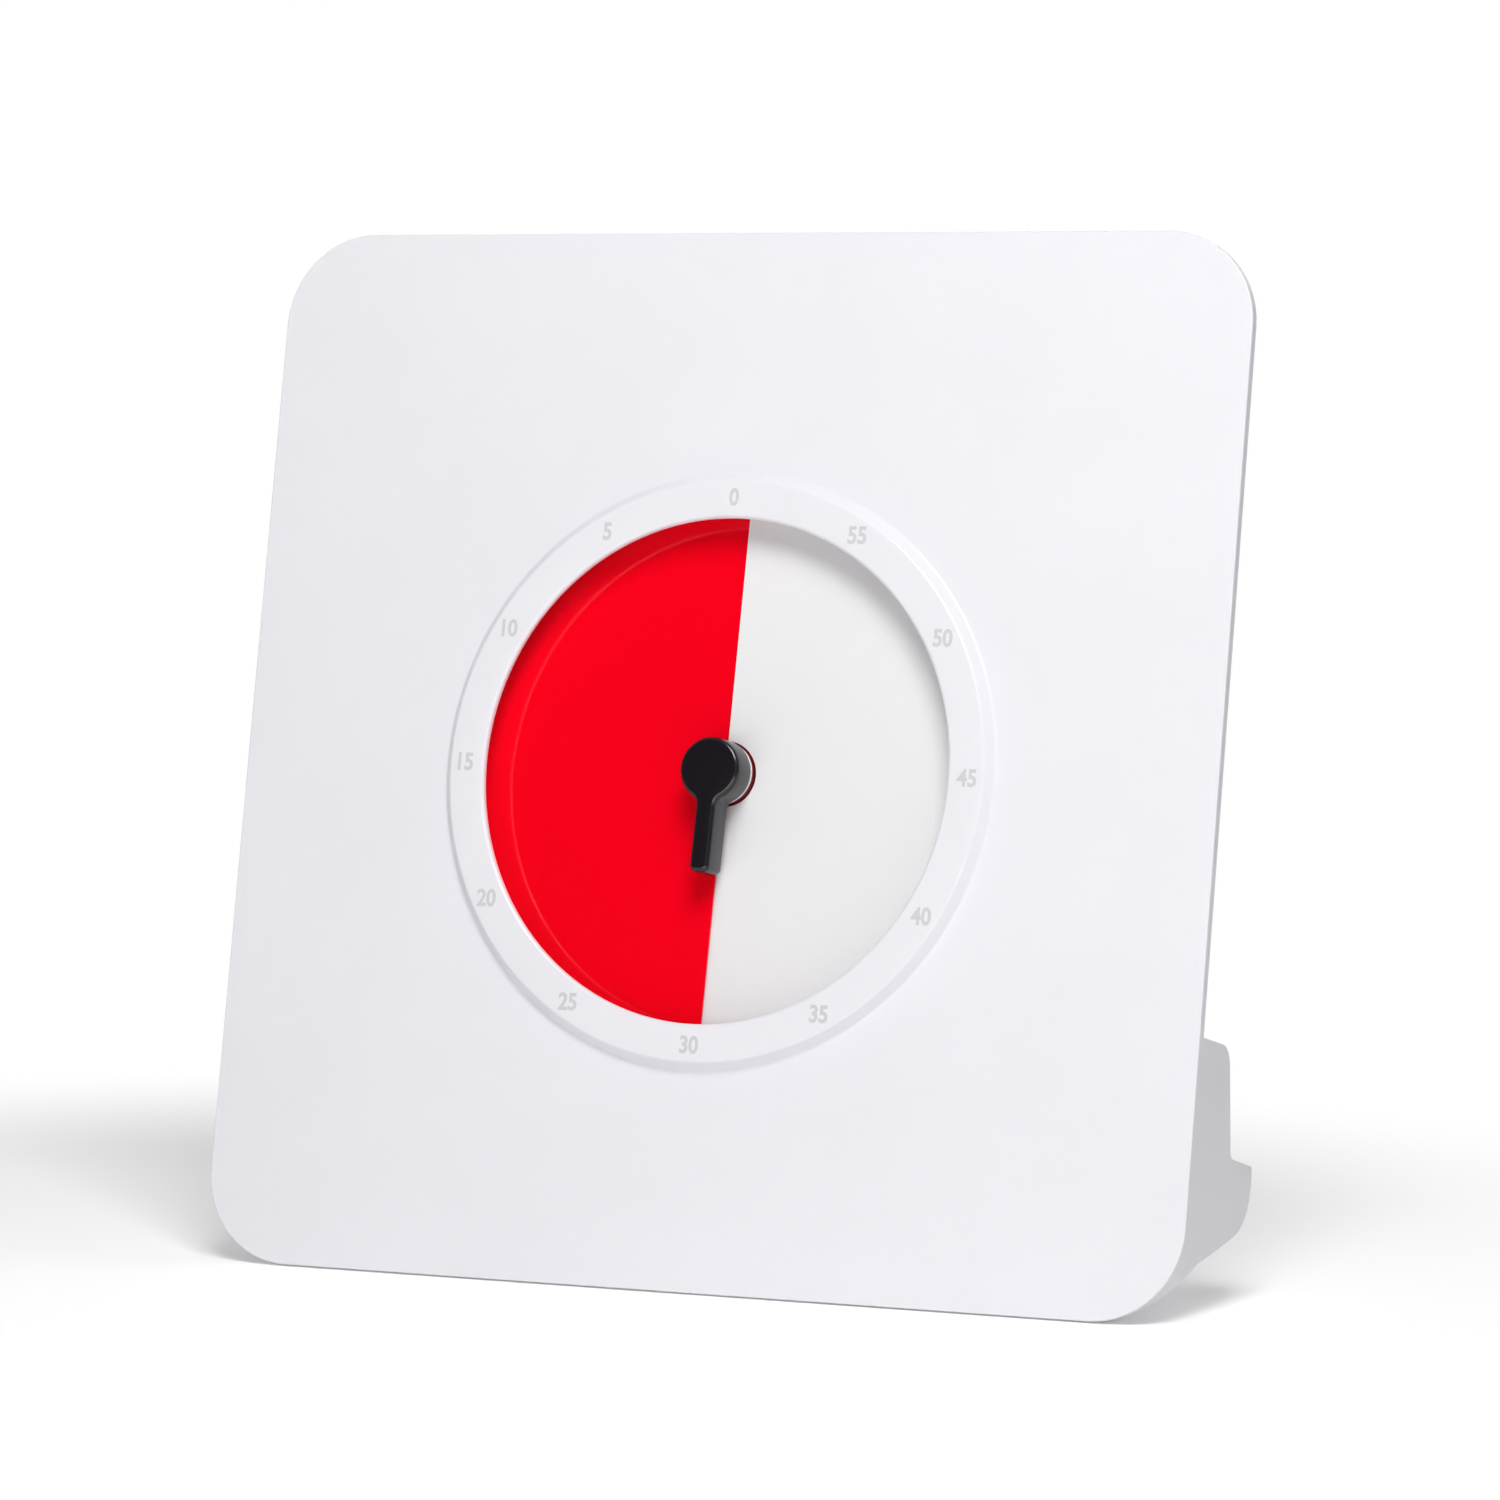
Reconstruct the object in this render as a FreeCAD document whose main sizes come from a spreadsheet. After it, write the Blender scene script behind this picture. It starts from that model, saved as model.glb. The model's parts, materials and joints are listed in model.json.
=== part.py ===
"""Visual countdown timer: a leaning square panel with a red disc that shows the minutes left.

All lengths are in millimetres. The row stands on z = 0, faces -Y and is centred on x = 0.
The panel and the dial have frames of their own: x to the right, y up the panel, z out of its face.
"""
import FreeCAD, Part
import Sketcher
import math
import os
import re

from FreeCAD import Placement, Rotation, Vector

doc = FreeCAD.newDocument("countdown_timer")

SIZES = {
    # Panel: a square with round corners that leans back by this many degrees
    "lean": 11.24,
    "panel_side": 432.0,
    "panel_round": 38.0,
    "rim_depth": 4.5,
    "rim_wall": 2.2,
    "face_wall": 2.2,
    "back_wall": 1.5,
    "edge_round": 0.6,
    "fit_gap": 0.3,
    # Round window in the panel and the raised ring that frames it
    "dial_drop": 5.45,
    "window_radius": 103.0,
    "ring_inside": 13.0,
    "ring_cover": 5.8,
    "ring_rise": 4.5,
    "ring_flank": 3.4,
    "ring_round": 1.2,
    "lip_run": 1.6,
    "lip_top": 3.1,
    "lip_bottom": 1.3,
    "spigot_wall": 2.3,
    "spigot_depth": 4.2,
    # Red disc and white dial plate: two thin leaves that wind through each other's slit
    "disc_cover": 11.0,
    "film_wall": 0.6,
    "film_root": 1.5,
    "disc_pitch": 3.0,
    "dial_depth": 12.5,
    "slit_turn": 0.8,
    "slit_gap": 0.3,
    "disc_gap": 1.2,
    "cup_wall": 1.5,
    "hub_radius": 13.0,
    "hub_tail": 2.0,
    "hub_rise": 5.0,
    "hub_pocket": 3.4,
    "washer_wall": 2.5,
    # Knob with its pointer lever
    "head_radius": 12.5,
    "head_depth": 10.0,
    "knob_front": 7.5,
    "neck_radius": 7.5,
    "neck_reach": 6.5,
    "lever_width": 8.6,
    "lever_reach": 42.0,
    "knob_round": 1.9,
    "knob_fillet": 4.5,
    "lever_tip_round": 2.8,
    "knob_cap": 2.5,
    # Shaft and bush
    "shaft_radius": 3.0,
    "tail_radius": 1.5,
    "running_fit": 0.05,
    "bush_wall": 1.5,
    # Round rear pan
    "pan_wall": 2.5,
    "floor_gap": 1.0,
    "flange_width": 7.5,
    "flange_wall": 2.5,
    "pan_screw_count": 8,
    # Screws
    "screw_radius": 1.3,
    "screw_head_radius": 2.6,
    "screw_head_depth": 1.6,
    "screw_skin": 1.2,
    # Clockwork: plates, wheels and their levels behind the pan floor
    "works_half_width": 31.0,
    "works_above": 22.2,
    "works_below": 39.2,
    "works_wall": 1.2,
    "works_depth": 12.0,
    "tooth_size": 0.6,
    "tooth_tip": 0.8,
    "tooth_root": 1.1,
    "tooth_foot_share": 0.26,
    "tooth_tip_share": 0.11,
    "centre_teeth": 60,
    "third_pinion_teeth": 10,
    "third_teeth": 48,
    "rotor_teeth": 8,
    "arbor_radius": 0.8,
    "hub_wall": 1.2,
    "centre_level": 1.3,
    "centre_thick": 2.0,
    "clutch_wall": 0.6,
    "clutch_radius": 7.0,
    "third_level": 4.5,
    "third_thick": 1.2,
    "rotor_level": 4.2,
    "rotor_reach": 1.9,
    "magnet_radius": 3.8,
    "magnet_level": 6.9,
    "magnet_thick": 2.4,
    "stator_level": 7.5,
    "stator_thick": 1.2,
    "stator_gap": 0.6,
    "coil_length": 22.0,
    # Rear housing behind the pan
    "side_room": 5.1,
    "housing_above": 44.0,
    "housing_below": 54.0,
    "housing_wall": 2.0,
    "housing_round": 12.0,
    "back_round": 1.6,
    "bay_depth": 16.5,
    "boss_radius": 4.0,
    "boss_inset": 7.0,
    # Battery bay
    "cell_radius": 7.1,
    "cell_length": 49.0,
    "cell_nub_radius": 2.75,
    "cell_nub": 1.2,
    "cell_centre": -5.0,
    "works_room": 4.5,
    "cell_spacing": 16.2,
    "cell_gap": 0.4,
    "contact_wall": 0.5,
    "contact_room": 8.0,
    "contact_height": 11.4,
    "spring_radius": 5.0,
    "tray_wall": 1.2,
    "notch_radius": 7.0,
    "hinge_pin_radius": 0.6,
    "hinge_pin_reach": 1.2,
    # Circuit board, speaker, volume wheel and sound switch
    "board_gap": 2.0,
    "board_corner": 2.0,
    "board_works_gap": 3.0,
    "board_height": 44.0,
    "board_wall": 1.6,
    "chip_side": 9.0,
    "chip_wall": 1.6,
    "can_radius": 2.25,
    "can_height": 4.5,
    "can_first": 18.0,
    "can_step": 7.4,
    "can_count": 3,
    "speaker_side_gap": 5.0,
    "speaker_top_gap": 3.0,
    "speaker_radius": 15.0,
    "speaker_depth": 5.0,
    "magnet_can_radius": 8.0,
    "magnet_can_depth": 4.5,
    "grille_hole": 1.1,
    "grille_pitch": 4.4,
    "grille_rows": 2,
    "volume_y": -20.0,
    "volume_radius": 11.5,
    "volume_thick": 3.5,
    "volume_show": 3.0,
    "volume_level": 7.0,
    "volume_ridges": 36,
    "volume_ridge": 0.7,
    "pin_radius": 1.5,
    "pin_length": 12.0,
    "switch_out": 17.0,
    "switch_y": -22.0,
    "switch_width": 4.4,
    "switch_height": 6.0,
    "switch_show": 1.6,
    "switch_travel": 2.5,
    "switch_base": 4.0,
    "switch_brim": 2.0,
    # Stand: side view of the hull, measured back from the panel's foot and up from the floor
    "stand_wall": 2.5,
    "stand_top": 110.3,
    "stand_top_drop": 0.229,
    "stand_front": 29.0,
    "stand_back": 55.8,
    "stand_top_round": 10.0,
    "ledge_height": 59.8,
    "ledge_drop": 0.255,
    "ledge_fillet": 4.0,
    "ledge_draft": 1.2,
    "ledge_tip": 81.0,
    "ledge_tip_round": 1.2,
    "foot_rise": 1.0,
    "foot_back": 78.0,
    "foot_round": 16.0,
    "foot_half_width": 140.0,
    "side_rise": 31.5,
    "side_slope": 0.159,
    "side_round": 23.3,
    "side_front_rise": 9.0,
    "side_front": 5.0,
    "side_knee": 26.0,
    "pan_clearance": 1.0,
    "stand_screw_out": 150.0,
    "stand_screw_in": 60.0,
    "stand_screw_rise": 62.0,
    "stand_screw_seat": 12.0,
    "stand_boss_radius": 5.5,
    "stand_bore_radius": 3.6,
    # Rubber feet
    "pad_radius": 7.0,
    "pad_depth": 1.8,
    "pad_out": 105.0,
    "pad_front": 22.0,
    "pad_back": 54.0,
}

DERIVED = {
    "opening_radius": "=window_radius + ring_inside",
    "ring_radius": "=opening_radius + ring_cover",
    "disc_radius": "=window_radius + disc_cover",
    "cup_radius": "=disc_radius + disc_gap",
    "cup_outer": "=cup_radius + cup_wall",
    "pan_radius": "=cup_outer + fit_gap",
    "pan_outer": "=pan_radius + pan_wall",
    "flange_radius": "=pan_outer + flange_width",
    "flange_back": "=rim_depth + flange_wall",
    "screw_circle": "=pan_outer + flange_width / 2",
    "seat_back": "=rim_depth - back_wall",
    "stand_screw_drop": "=panel_side / 2 - stand_screw_rise",
    "hub_front": "=dial_depth - hub_rise",
    "hub_back": "=dial_depth + hub_tail",
    "floor_depth": "=hub_back + disc_pitch / 2 + floor_gap",
    "floor_back": "=floor_depth + pan_wall",
    "works_front": "=floor_back + works_wall",
    "works_back": "=works_front + works_depth",
    "works_end": "=works_back + works_wall / 2",
    "bush_radius": "=shaft_radius + bush_wall",
    "knob_back": "=head_depth - knob_front",
    "neck_end": "=knob_back + neck_reach",
    "coil_radius": "=works_depth - stator_level - stator_thick / 2 - fit_gap",
    "coil_offset": "=works_half_width - works_wall - coil_radius - stator_gap",
    "third_reach": "=(centre_teeth + third_pinion_teeth) * tooth_size / 2",
    "rotor_out": "=(third_teeth + rotor_teeth) * tooth_size / 2",
    "bay_back": "=floor_back + bay_depth",
    "housing_back": "=bay_back + housing_wall",
    "cell_left": "=works_half_width + works_room + cell_radius + cell_gap",
    "boss_top": "=housing_above - boss_inset",
    "boss_bottom": "=housing_below - boss_inset",
    "cell_right": "=cell_left + cell_spacing",
    "bay_left": "=cell_left - cell_radius - cell_gap",
    "bay_right": "=cell_right + cell_radius + cell_gap",
    "housing_width": "=2 * (bay_right + tray_wall + side_room + housing_wall)",
    "boss_x": "=housing_width / 2 - boss_inset",
    "cell_top": "=cell_centre + cell_length / 2 + cell_nub",
    "cell_bottom": "=cell_centre - cell_length / 2",
    "bay_top": "=cell_top + contact_wall",
    "bay_bottom": "=cell_bottom - contact_room",
    "tray_floor": "=floor_back + tray_wall",
    "cell_depth": "=tray_floor + cell_gap / 2 + cell_radius",
    "door_left": "=bay_left",
    "door_right": "=bay_right",
    "door_top": "=bay_top",
    "door_bottom": "=bay_bottom",
    "hinge_height": "=door_top - fit_gap - housing_wall / 2",
    "hinge_depth": "=bay_back + housing_wall / 2",
    "board_level": "=floor_back + board_wall",
    "board_left": "=housing_wall + board_gap - housing_width / 2",
    "board_bottom": "=boss_radius + board_corner - boss_bottom",
    "board_width": "=-works_half_width - board_works_gap - board_left",
    "volume_x": "=volume_radius - volume_show - housing_width / 2",
    "speaker_y": "=housing_above - housing_wall - speaker_radius - speaker_top_gap",
    "speaker_x": "=housing_wall + speaker_side_gap + speaker_radius - housing_width / 2",
    "switch_x": "=-works_half_width - switch_out",
}

sheet = doc.addObject("Spreadsheet::Sheet", "Sizes")
for row, (alias, content) in enumerate({**SIZES, **DERIVED}.items(), start=1):
    sheet.set(f"A{row}", alias)
    sheet.set(f"B{row}", str(content))
    sheet.setAlias(f"B{row}", alias)
doc.recompute()

NAMES = set(SIZES) | set(DERIVED)


def formula(text):
    """An expression on the sheet's cells, written with the bare names of the sizes."""
    return re.sub(r"[a-z_]+", lambda word: f"Sizes.{word.group()}" if word.group() in NAMES
                  else word.group(), text)


def number(text):
    """The present value of such an expression."""
    return float(sheet.evalExpression(formula(text)))


def bind(piece, **properties):
    for name, text in properties.items():
        piece.setExpression(name.replace("__", "."), formula(text))


# The leaning frames of the panel and of the dial

LEAN = number("lean")
TILT = Rotation(Vector(1, 0, 0), 90 - LEAN)
PANEL_Y = -number("rim_depth") / 2 * math.cos(math.radians(LEAN))
PANEL_Z = (number("panel_side") / 2 * math.cos(math.radians(LEAN))
           + number("rim_depth") * math.sin(math.radians(LEAN)))
PANEL_PLACE = Placement(Vector(0, PANEL_Y, PANEL_Z), TILT)
DIAL_PLACE = PANEL_PLACE * Placement(Vector(0, -number("dial_drop"), 0), Rotation())
FOOT_Y = -(number("panel_side") * math.sin(math.radians(LEAN))
           + number("rim_depth") * math.cos(math.radians(LEAN))) / 2

parts = {}


def keep(label, piece, place=Placement()):
    """Name a finished piece and put it in its place."""
    piece.Label = label
    piece.Placement = place
    parts[label] = piece
    return piece


# Sketches and features

def new_body(label, place):
    return keep(label, doc.addObject("PartDesign::Body", label + "_body"), place)


def sketch_on(body, level="0", role="XY_Plane"):
    """A sketch on one of the body's own planes, moved along that plane's normal."""
    sketch = body.newObject("Sketcher::SketchObject", "outline")
    plane = next(part for part in body.Origin.OriginFeatures if part.Role == role)
    sketch.AttachmentSupport = [(plane, "")]
    sketch.MapMode = "FlatFace"
    bind(sketch, AttachmentOffset__Base__z=level)
    return sketch


def fix_point(sketch, item, point, x, y):
    """Tie one point of a sketch to the origin by two sizes."""
    for kind, text in (("DistanceX", x), ("DistanceY", y)):
        rule = sketch.addConstraint(
            Sketcher.Constraint(kind, -1, 1, item, point, number(text)))
        sketch.setExpression(f"Constraints[{rule}]", formula(text))


def polygon(sketch, corners):
    """A closed outline through corners that are given as pairs of sizes."""
    spots = [Vector(number(x), number(y), 0) for x, y in corners]
    first = sketch.GeometryCount
    for here, there in zip(spots, spots[1:] + spots[:1]):
        sketch.addGeometry(Part.LineSegment(here, there), False)
    for step, (x, y) in enumerate(corners):
        before = first + (step - 1) % len(corners)
        sketch.addConstraint(Sketcher.Constraint("Coincident", before, 2, first + step, 1))
        fix_point(sketch, first + step, 1, x, y)


def rectangle(sketch, left, bottom, right, top):
    polygon(sketch, [(left, bottom), (right, bottom), (right, top), (left, top)])


def round_rectangle(sketch, left, bottom, right, top, radius):
    """A rectangle whose corners are arcs, run round anticlockwise from its lower side."""
    low_x, low_y, high_x, high_y = (number(text) for text in (left, bottom, right, top))
    bend = number(radius)
    middles = [(high_x - bend, low_y + bend), (high_x - bend, high_y - bend),
               (low_x + bend, high_y - bend), (low_x + bend, low_y + bend)]
    arcs = []
    for quarter, (x, y) in enumerate(middles, start=-1):
        round_corner = Part.Circle(Vector(x, y, 0), Vector(0, 0, 1), bend)
        start = quarter * math.pi / 2
        arcs.append(sketch.addGeometry(
            Part.ArcOfCircle(round_corner, start, start + math.pi / 2), False))
        rule = sketch.addConstraint(Sketcher.Constraint("Radius", arcs[-1], bend))
        sketch.setExpression(f"Constraints[{rule}]", formula(radius))
    sides = (("Vertical", "DistanceX", right), ("Horizontal", "DistanceY", top),
             ("Vertical", "DistanceX", left), ("Horizontal", "DistanceY", bottom))
    for index, (way, kind, text) in enumerate(sides):
        before, after = arcs[index], arcs[(index + 1) % 4]
        ends = sketch.Geometry[before].EndPoint, sketch.Geometry[after].StartPoint
        side = sketch.addGeometry(Part.LineSegment(*ends), False)
        sketch.addConstraint(Sketcher.Constraint("Tangent", before, 2, side, 1))
        sketch.addConstraint(Sketcher.Constraint("Tangent", side, 2, after, 1))
        sketch.addConstraint(Sketcher.Constraint(way, side))
        rule = sketch.addConstraint(
            Sketcher.Constraint(kind, -1, 1, side, 1, number(text)))
        sketch.setExpression(f"Constraints[{rule}]", formula(text))


def circle(sketch, x, y, radius):
    centre = Vector(number(x), number(y), 0)
    item = sketch.addGeometry(Part.Circle(centre, Vector(0, 0, 1), number(radius)), False)
    fix_point(sketch, item, 3, x, y)
    rule = sketch.addConstraint(Sketcher.Constraint("Radius", item, number(radius)))
    sketch.setExpression(f"Constraints[{rule}]", formula(radius))


def pad(body, sketch, length, backwards=False):
    feature = body.newObject("PartDesign::Pad", "pad")
    feature.Profile = sketch
    bind(feature, Length=length)
    feature.Reversed = backwards
    return feature


def pocket(body, sketch, length, forwards=False):
    """Cut an outline away, from its plane backwards or forwards."""
    feature = body.newObject("PartDesign::Pocket", "pocket")
    feature.Profile = sketch
    bind(feature, Length=length)
    feature.Reversed = forwards
    return feature


def revolve(body, corners):
    """Turn a section of radius and height about the body's Z axis."""
    sketch = sketch_on(body, role="XZ_Plane")
    polygon(sketch, corners)
    feature = body.newObject("PartDesign::Revolution", "turned")
    feature.Profile = sketch
    feature.ReferenceAxis = (sketch, ["V_Axis"])
    return feature


def polar(body, feature, count):
    """Repeat a feature round the body's Z axis."""
    axis = next(part for part in body.Origin.OriginFeatures if part.Role == "Z_Axis")
    pattern = body.newObject("PartDesign::PolarPattern", "pattern")
    pattern.Originals = [feature]
    pattern.Axis = (axis, [""])
    pattern.Angle = 360
    bind(pattern, Occurrences=count)
    body.Tip = pattern
    return pattern


def round_edges(body, base, radius, wanted):
    """Fillet the edges of a feature that a test picks out."""
    doc.recompute()
    names = [f"Edge{index}" for index, edge in enumerate(base.Shape.Edges, start=1)
             if wanted(edge)]
    feature = body.newObject("PartDesign::Fillet", "rounded")
    feature.Base = (base, names)
    bind(feature, Radius=radius)
    return feature


NEAR = 1e-4


def level_of(edge):
    """The height of a level edge, or None where the edge climbs."""
    box = edge.BoundBox
    return box.ZMin if box.ZLength < NEAR else None


def upright(edge):
    box = edge.BoundBox
    return box.XLength < NEAR and box.YLength < NEAR


def at_level(height):
    return lambda edge: level_of(edge) is not None and abs(level_of(edge) - height) < NEAR


def spot(edge):
    return edge.BoundBox.Center


def shaped(label, shape, place):
    """A piece whose shape is worked out here, because no sketched feature makes it."""
    piece = doc.addObject("Part::Feature", label + "_form")
    piece.Shape = shape
    return keep(label, piece, place.multiply(shape.Placement))


def disc(radius, low, high, x=0.0, y=0.0):
    return Part.makeCylinder(radius, high - low, Vector(x, y, low))


def tube(inner, outer, low, high):
    return disc(outer, low, high).cut(disc(inner, low, high))


def turned(profile):
    """A solid of revolution about Z from (radius, height) points."""
    points = [Vector(radius, 0, height) for radius, height in profile + profile[:1]]
    face = Part.Face(Part.makePolygon(points))
    return face.revolve(Vector(0, 0, 0), Vector(0, 0, 1), 360)


def pan_screw_holes(sketch, radius):
    """Holes for the pan's screws, drawn in the panel's frame."""
    count = int(number("pan_screw_count"))
    for step in range(count):
        turn = 90 + 360 * step / count
        circle(sketch, f"screw_circle * cos({turn})",
               f"screw_circle * sin({turn}) - dial_drop", radius)


# Front panel with its shallow rim

def panel_square(sketch, inset):
    edge = f"panel_side / 2 - ({inset})"
    round_rectangle(sketch, f"-({edge})", f"-({edge})", edge, edge, f"panel_round - ({inset})")


def front_panel():
    body = new_body("front_panel", PANEL_PLACE)
    outline = sketch_on(body)
    panel_square(outline, "0")
    pad(body, outline, "rim_depth", backwards=True)
    hollow = sketch_on(body, "-rim_depth")
    panel_square(hollow, "rim_wall")
    pocket(body, hollow, "rim_depth - face_wall", forwards=True)
    seat = sketch_on(body, "-face_wall")
    circle(seat, "0", "-dial_drop", "flange_radius")
    pad(body, seat, "seat_back - face_wall", backwards=True)
    for side in ("-", ""):
        for reach in ("stand_screw_in", "stand_screw_out"):
            boss = sketch_on(body, "-face_wall")
            circle(boss, side + reach, "-stand_screw_drop", "stand_boss_radius")
            pad(body, boss, "seat_back - face_wall", backwards=True)
            hole = sketch_on(body, "-seat_back")
            circle(hole, side + reach, "-stand_screw_drop", "screw_radius")
            pocket(body, hole, "seat_back - screw_skin", forwards=True)
    threads = sketch_on(body, "-seat_back")
    pan_screw_holes(threads, "screw_radius")
    pocket(body, threads, "seat_back - screw_skin", forwards=True)
    window = sketch_on(body)
    circle(window, "0", "-dial_drop", "opening_radius")
    last = pocket(body, window, "rim_depth")
    half = number("panel_side") / 2

    def front_edge(edge):
        outside = max(abs(spot(edge).x), abs(spot(edge).y + number("dial_drop")))
        return at_level(0)(edge) and outside > half / 2

    round_edges(body, last, "edge_round", front_edge)


def back_panel():
    """A thin sheet that closes the panel inside its rim."""
    body = new_body("back_panel", PANEL_PLACE)
    outline = sketch_on(body, "-rim_depth")
    panel_square(outline, "rim_wall + fit_gap")
    circle(outline, "0", "-dial_drop", "pan_radius")
    for side in ("-", ""):
        for reach in ("stand_screw_in", "stand_screw_out"):
            circle(outline, side + reach, "-stand_screw_drop", "screw_radius + running_fit")
    pan_screw_holes(outline, "screw_radius + running_fit")
    pad(body, outline, "back_wall")


# Ring, dial plate, red disc and knob, all on the dial's axis

def bezel_ring():
    """Raised ring: a flat face for the numbers, a sloping flank and a rounded inner lip."""
    body = new_body("bezel_ring", DIAL_PLACE)
    spigot = "opening_radius - fit_gap / 2"
    ring = revolve(body, [
        ("ring_radius", "0"),
        ("ring_radius - ring_flank", "ring_rise"),
        ("window_radius + lip_run", "ring_rise"),
        ("window_radius", "lip_top"),
        ("window_radius", "lip_bottom"),
        (f"{spigot} - spigot_wall", "lip_bottom"),
        (f"{spigot} - spigot_wall", "-spigot_depth"),
        (spigot, "-spigot_depth"),
        (spigot, "0"),
    ])
    round_edges(body, ring, "ring_round", lambda edge: at_level(number("ring_rise"))(edge))


def leaf(inner, outer, level):
    """One turn of a thin spiral leaf that climbs by the pitch as it goes round from the top."""
    share = 1 - number("slit_gap") / 360
    rims = [Part.makeHelix(number("disc_pitch"), number("disc_pitch") * share, radius).Edges[0]
            for radius in (inner, outer)]
    solid = Part.makeRuledSurface(*rims).extrude(Vector(0, 0, number("film_wall")))
    solid.translate(Vector(0, 0, level))
    solid.rotate(Vector(), Vector(0, 0, 1), 90 - number("slit_turn") + number("slit_gap") / 2)
    return solid


def dial_plate():
    """White leaf that fills the dial, with a rim that stands on the pan's floor."""
    plate = leaf(number("hub_radius + disc_gap"), number("cup_outer - cup_wall / 2"),
                 -number("dial_depth"))
    rim = tube(number("cup_radius"), number("cup_outer"),
               -number("floor_depth"), -number("spigot_depth + fit_gap"))
    shaped("dial_plate", plate.fuse(rim), DIAL_PLACE)


def red_disc():
    """Red leaf at the half hour: it shows on the left and runs under the white on the right."""
    film = leaf(number("hub_radius - film_root"), number("disc_radius"), 0)
    film.rotate(Vector(), Vector(0, 0, 1), 180)
    film.translate(Vector(0, 0, -number("dial_depth")))
    hub = disc(number("hub_radius"), -number("hub_back"), -number("hub_front"))
    hub = hub.cut(disc(number("neck_radius + fit_gap + fit_gap"),
                       -number("hub_front + hub_pocket"), 0))
    bore = disc(number("shaft_radius + running_fit"), -number("floor_depth"), 0)
    shaped("red_disc", film.fuse(hub).cut(bore), DIAL_PLACE)


def clamp_washer():
    body = new_body("clamp_washer", DIAL_PLACE)
    ring = sketch_on(body, "-hub_front")
    circle(ring, "0", "0", "head_radius")
    circle(ring, "0", "0", "neck_radius + fit_gap + fit_gap")
    pad(body, ring, "washer_wall")


def knob():
    """Round head with a straight pointer lever that doubles as the grip."""
    body = new_body("knob", DIAL_PLACE)
    outline = sketch_on(body, "-knob_back")
    half, reach, radius = number("lever_width") / 2, number("lever_reach"), number("head_radius")
    dip = math.asin(half / radius)
    down = -math.pi / 2
    head = Part.Circle(Vector(), Vector(0, 0, 1), radius)
    neck = math.sqrt(radius ** 2 - half ** 2)
    arc = outline.addGeometry(Part.ArcOfCircle(head, down + dip, down - dip + 2 * math.pi), False)
    left = outline.addGeometry(
        Part.LineSegment(Vector(-half, -neck, 0), Vector(-half, -reach, 0)), False)
    foot = outline.addGeometry(
        Part.LineSegment(Vector(-half, -reach, 0), Vector(half, -reach, 0)), False)
    right = outline.addGeometry(
        Part.LineSegment(Vector(half, -reach, 0), Vector(half, -neck, 0)), False)
    for one, two in ((arc, left), (left, foot), (foot, right), (right, arc)):
        outline.addConstraint(Sketcher.Constraint("Coincident", one, 2, two, 1))
    outline.addConstraint(Sketcher.Constraint("Coincident", arc, 3, -1, 1))
    rule = outline.addConstraint(Sketcher.Constraint("Radius", arc, radius))
    outline.setExpression(f"Constraints[{rule}]", formula("head_radius"))
    outline.addConstraint(Sketcher.Constraint("Vertical", left))
    outline.addConstraint(Sketcher.Constraint("Vertical", right))
    fix_point(outline, foot, 1, "-lever_width / 2", "-lever_reach")
    fix_point(outline, foot, 2, "lever_width / 2", "-lever_reach")
    grip = pad(body, outline, "head_depth")
    tip = round_edges(body, grip, "lever_tip_round",
                      lambda edge: upright(edge) and abs(spot(edge).y + reach) < NEAR)
    root = round_edges(body, tip, "knob_fillet",
                       lambda edge: upright(edge) and abs(spot(edge).y + neck) < NEAR)
    round_edges(body, root, "knob_round", at_level(number("knob_front")))
    stem = sketch_on(body, "-knob_back")
    circle(stem, "0", "0", "neck_radius")
    pad(body, stem, "neck_reach", backwards=True)
    bore = sketch_on(body, "-neck_end")
    circle(bore, "0", "0", "shaft_radius")
    pocket(body, bore, "neck_end + knob_front - knob_cap", forwards=True)


def shaft():
    """Stepped spindle from the knob through the bush to the rear pivot."""
    body = new_body("shaft", DIAL_PLACE)
    step = "works_front + centre_level + centre_thick + clutch_wall + fit_gap"
    revolve(body, [
        ("0", "knob_front - knob_cap"),
        ("shaft_radius", "knob_front - knob_cap"),
        ("shaft_radius", f"-({step})"),
        ("tail_radius", f"-({step})"),
        ("tail_radius", "-works_end"),
        ("0", "-works_end"),
    ])


def shaft_bush():
    body = new_body("shaft_bush", DIAL_PLACE)
    ring = sketch_on(body, "-works_front")
    circle(ring, "0", "0", "bush_radius")
    circle(ring, "0", "0", "shaft_radius + running_fit")
    pad(body, ring, "works_front - floor_depth")


# Rear pan and its screws

def dial_pan():
    """Round dish that carries the dial, with a flange on the back of the panel."""
    body = new_body("dial_pan", DIAL_PLACE)
    revolve(body, [
        ("bush_radius", "-floor_depth"),
        ("pan_radius", "-floor_depth"),
        ("pan_radius", "-rim_depth"),
        ("flange_radius", "-rim_depth"),
        ("flange_radius", "-flange_back"),
        ("pan_outer", "-flange_back"),
        ("pan_outer", "-floor_back"),
        ("bush_radius", "-floor_back"),
    ])
    bores = sketch_on(body, "-floor_back")
    for x in ("-boss_x", "boss_x"):
        for y in ("-boss_bottom", "boss_top"):
            circle(bores, x, y, "screw_radius")
    pocket(body, bores, "pan_wall - screw_skin / 2", forwards=True)
    hole = sketch_on(body, "-rim_depth")
    circle(hole, "0", "screw_circle", "screw_radius + running_fit")
    polar(body, pocket(body, hole, "flange_wall"), "pan_screw_count")


def screw(seat, tip):
    """Round-headed screw along Z whose head sits at one depth and whose tip is at another."""
    radius, head = number("screw_radius"), number("screw_head_radius")
    crown = seat + number("screw_head_depth")
    return turned([(0, -tip), (radius, -tip), (radius, -seat), (head, -seat),
                   (head, -(seat + crown) / 2), (head - radius / 2, -crown), (0, -crown)])


def moved(shape, x, y):
    copy = shape.copy()
    copy.translate(Vector(x, y, 0))
    return copy


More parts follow.
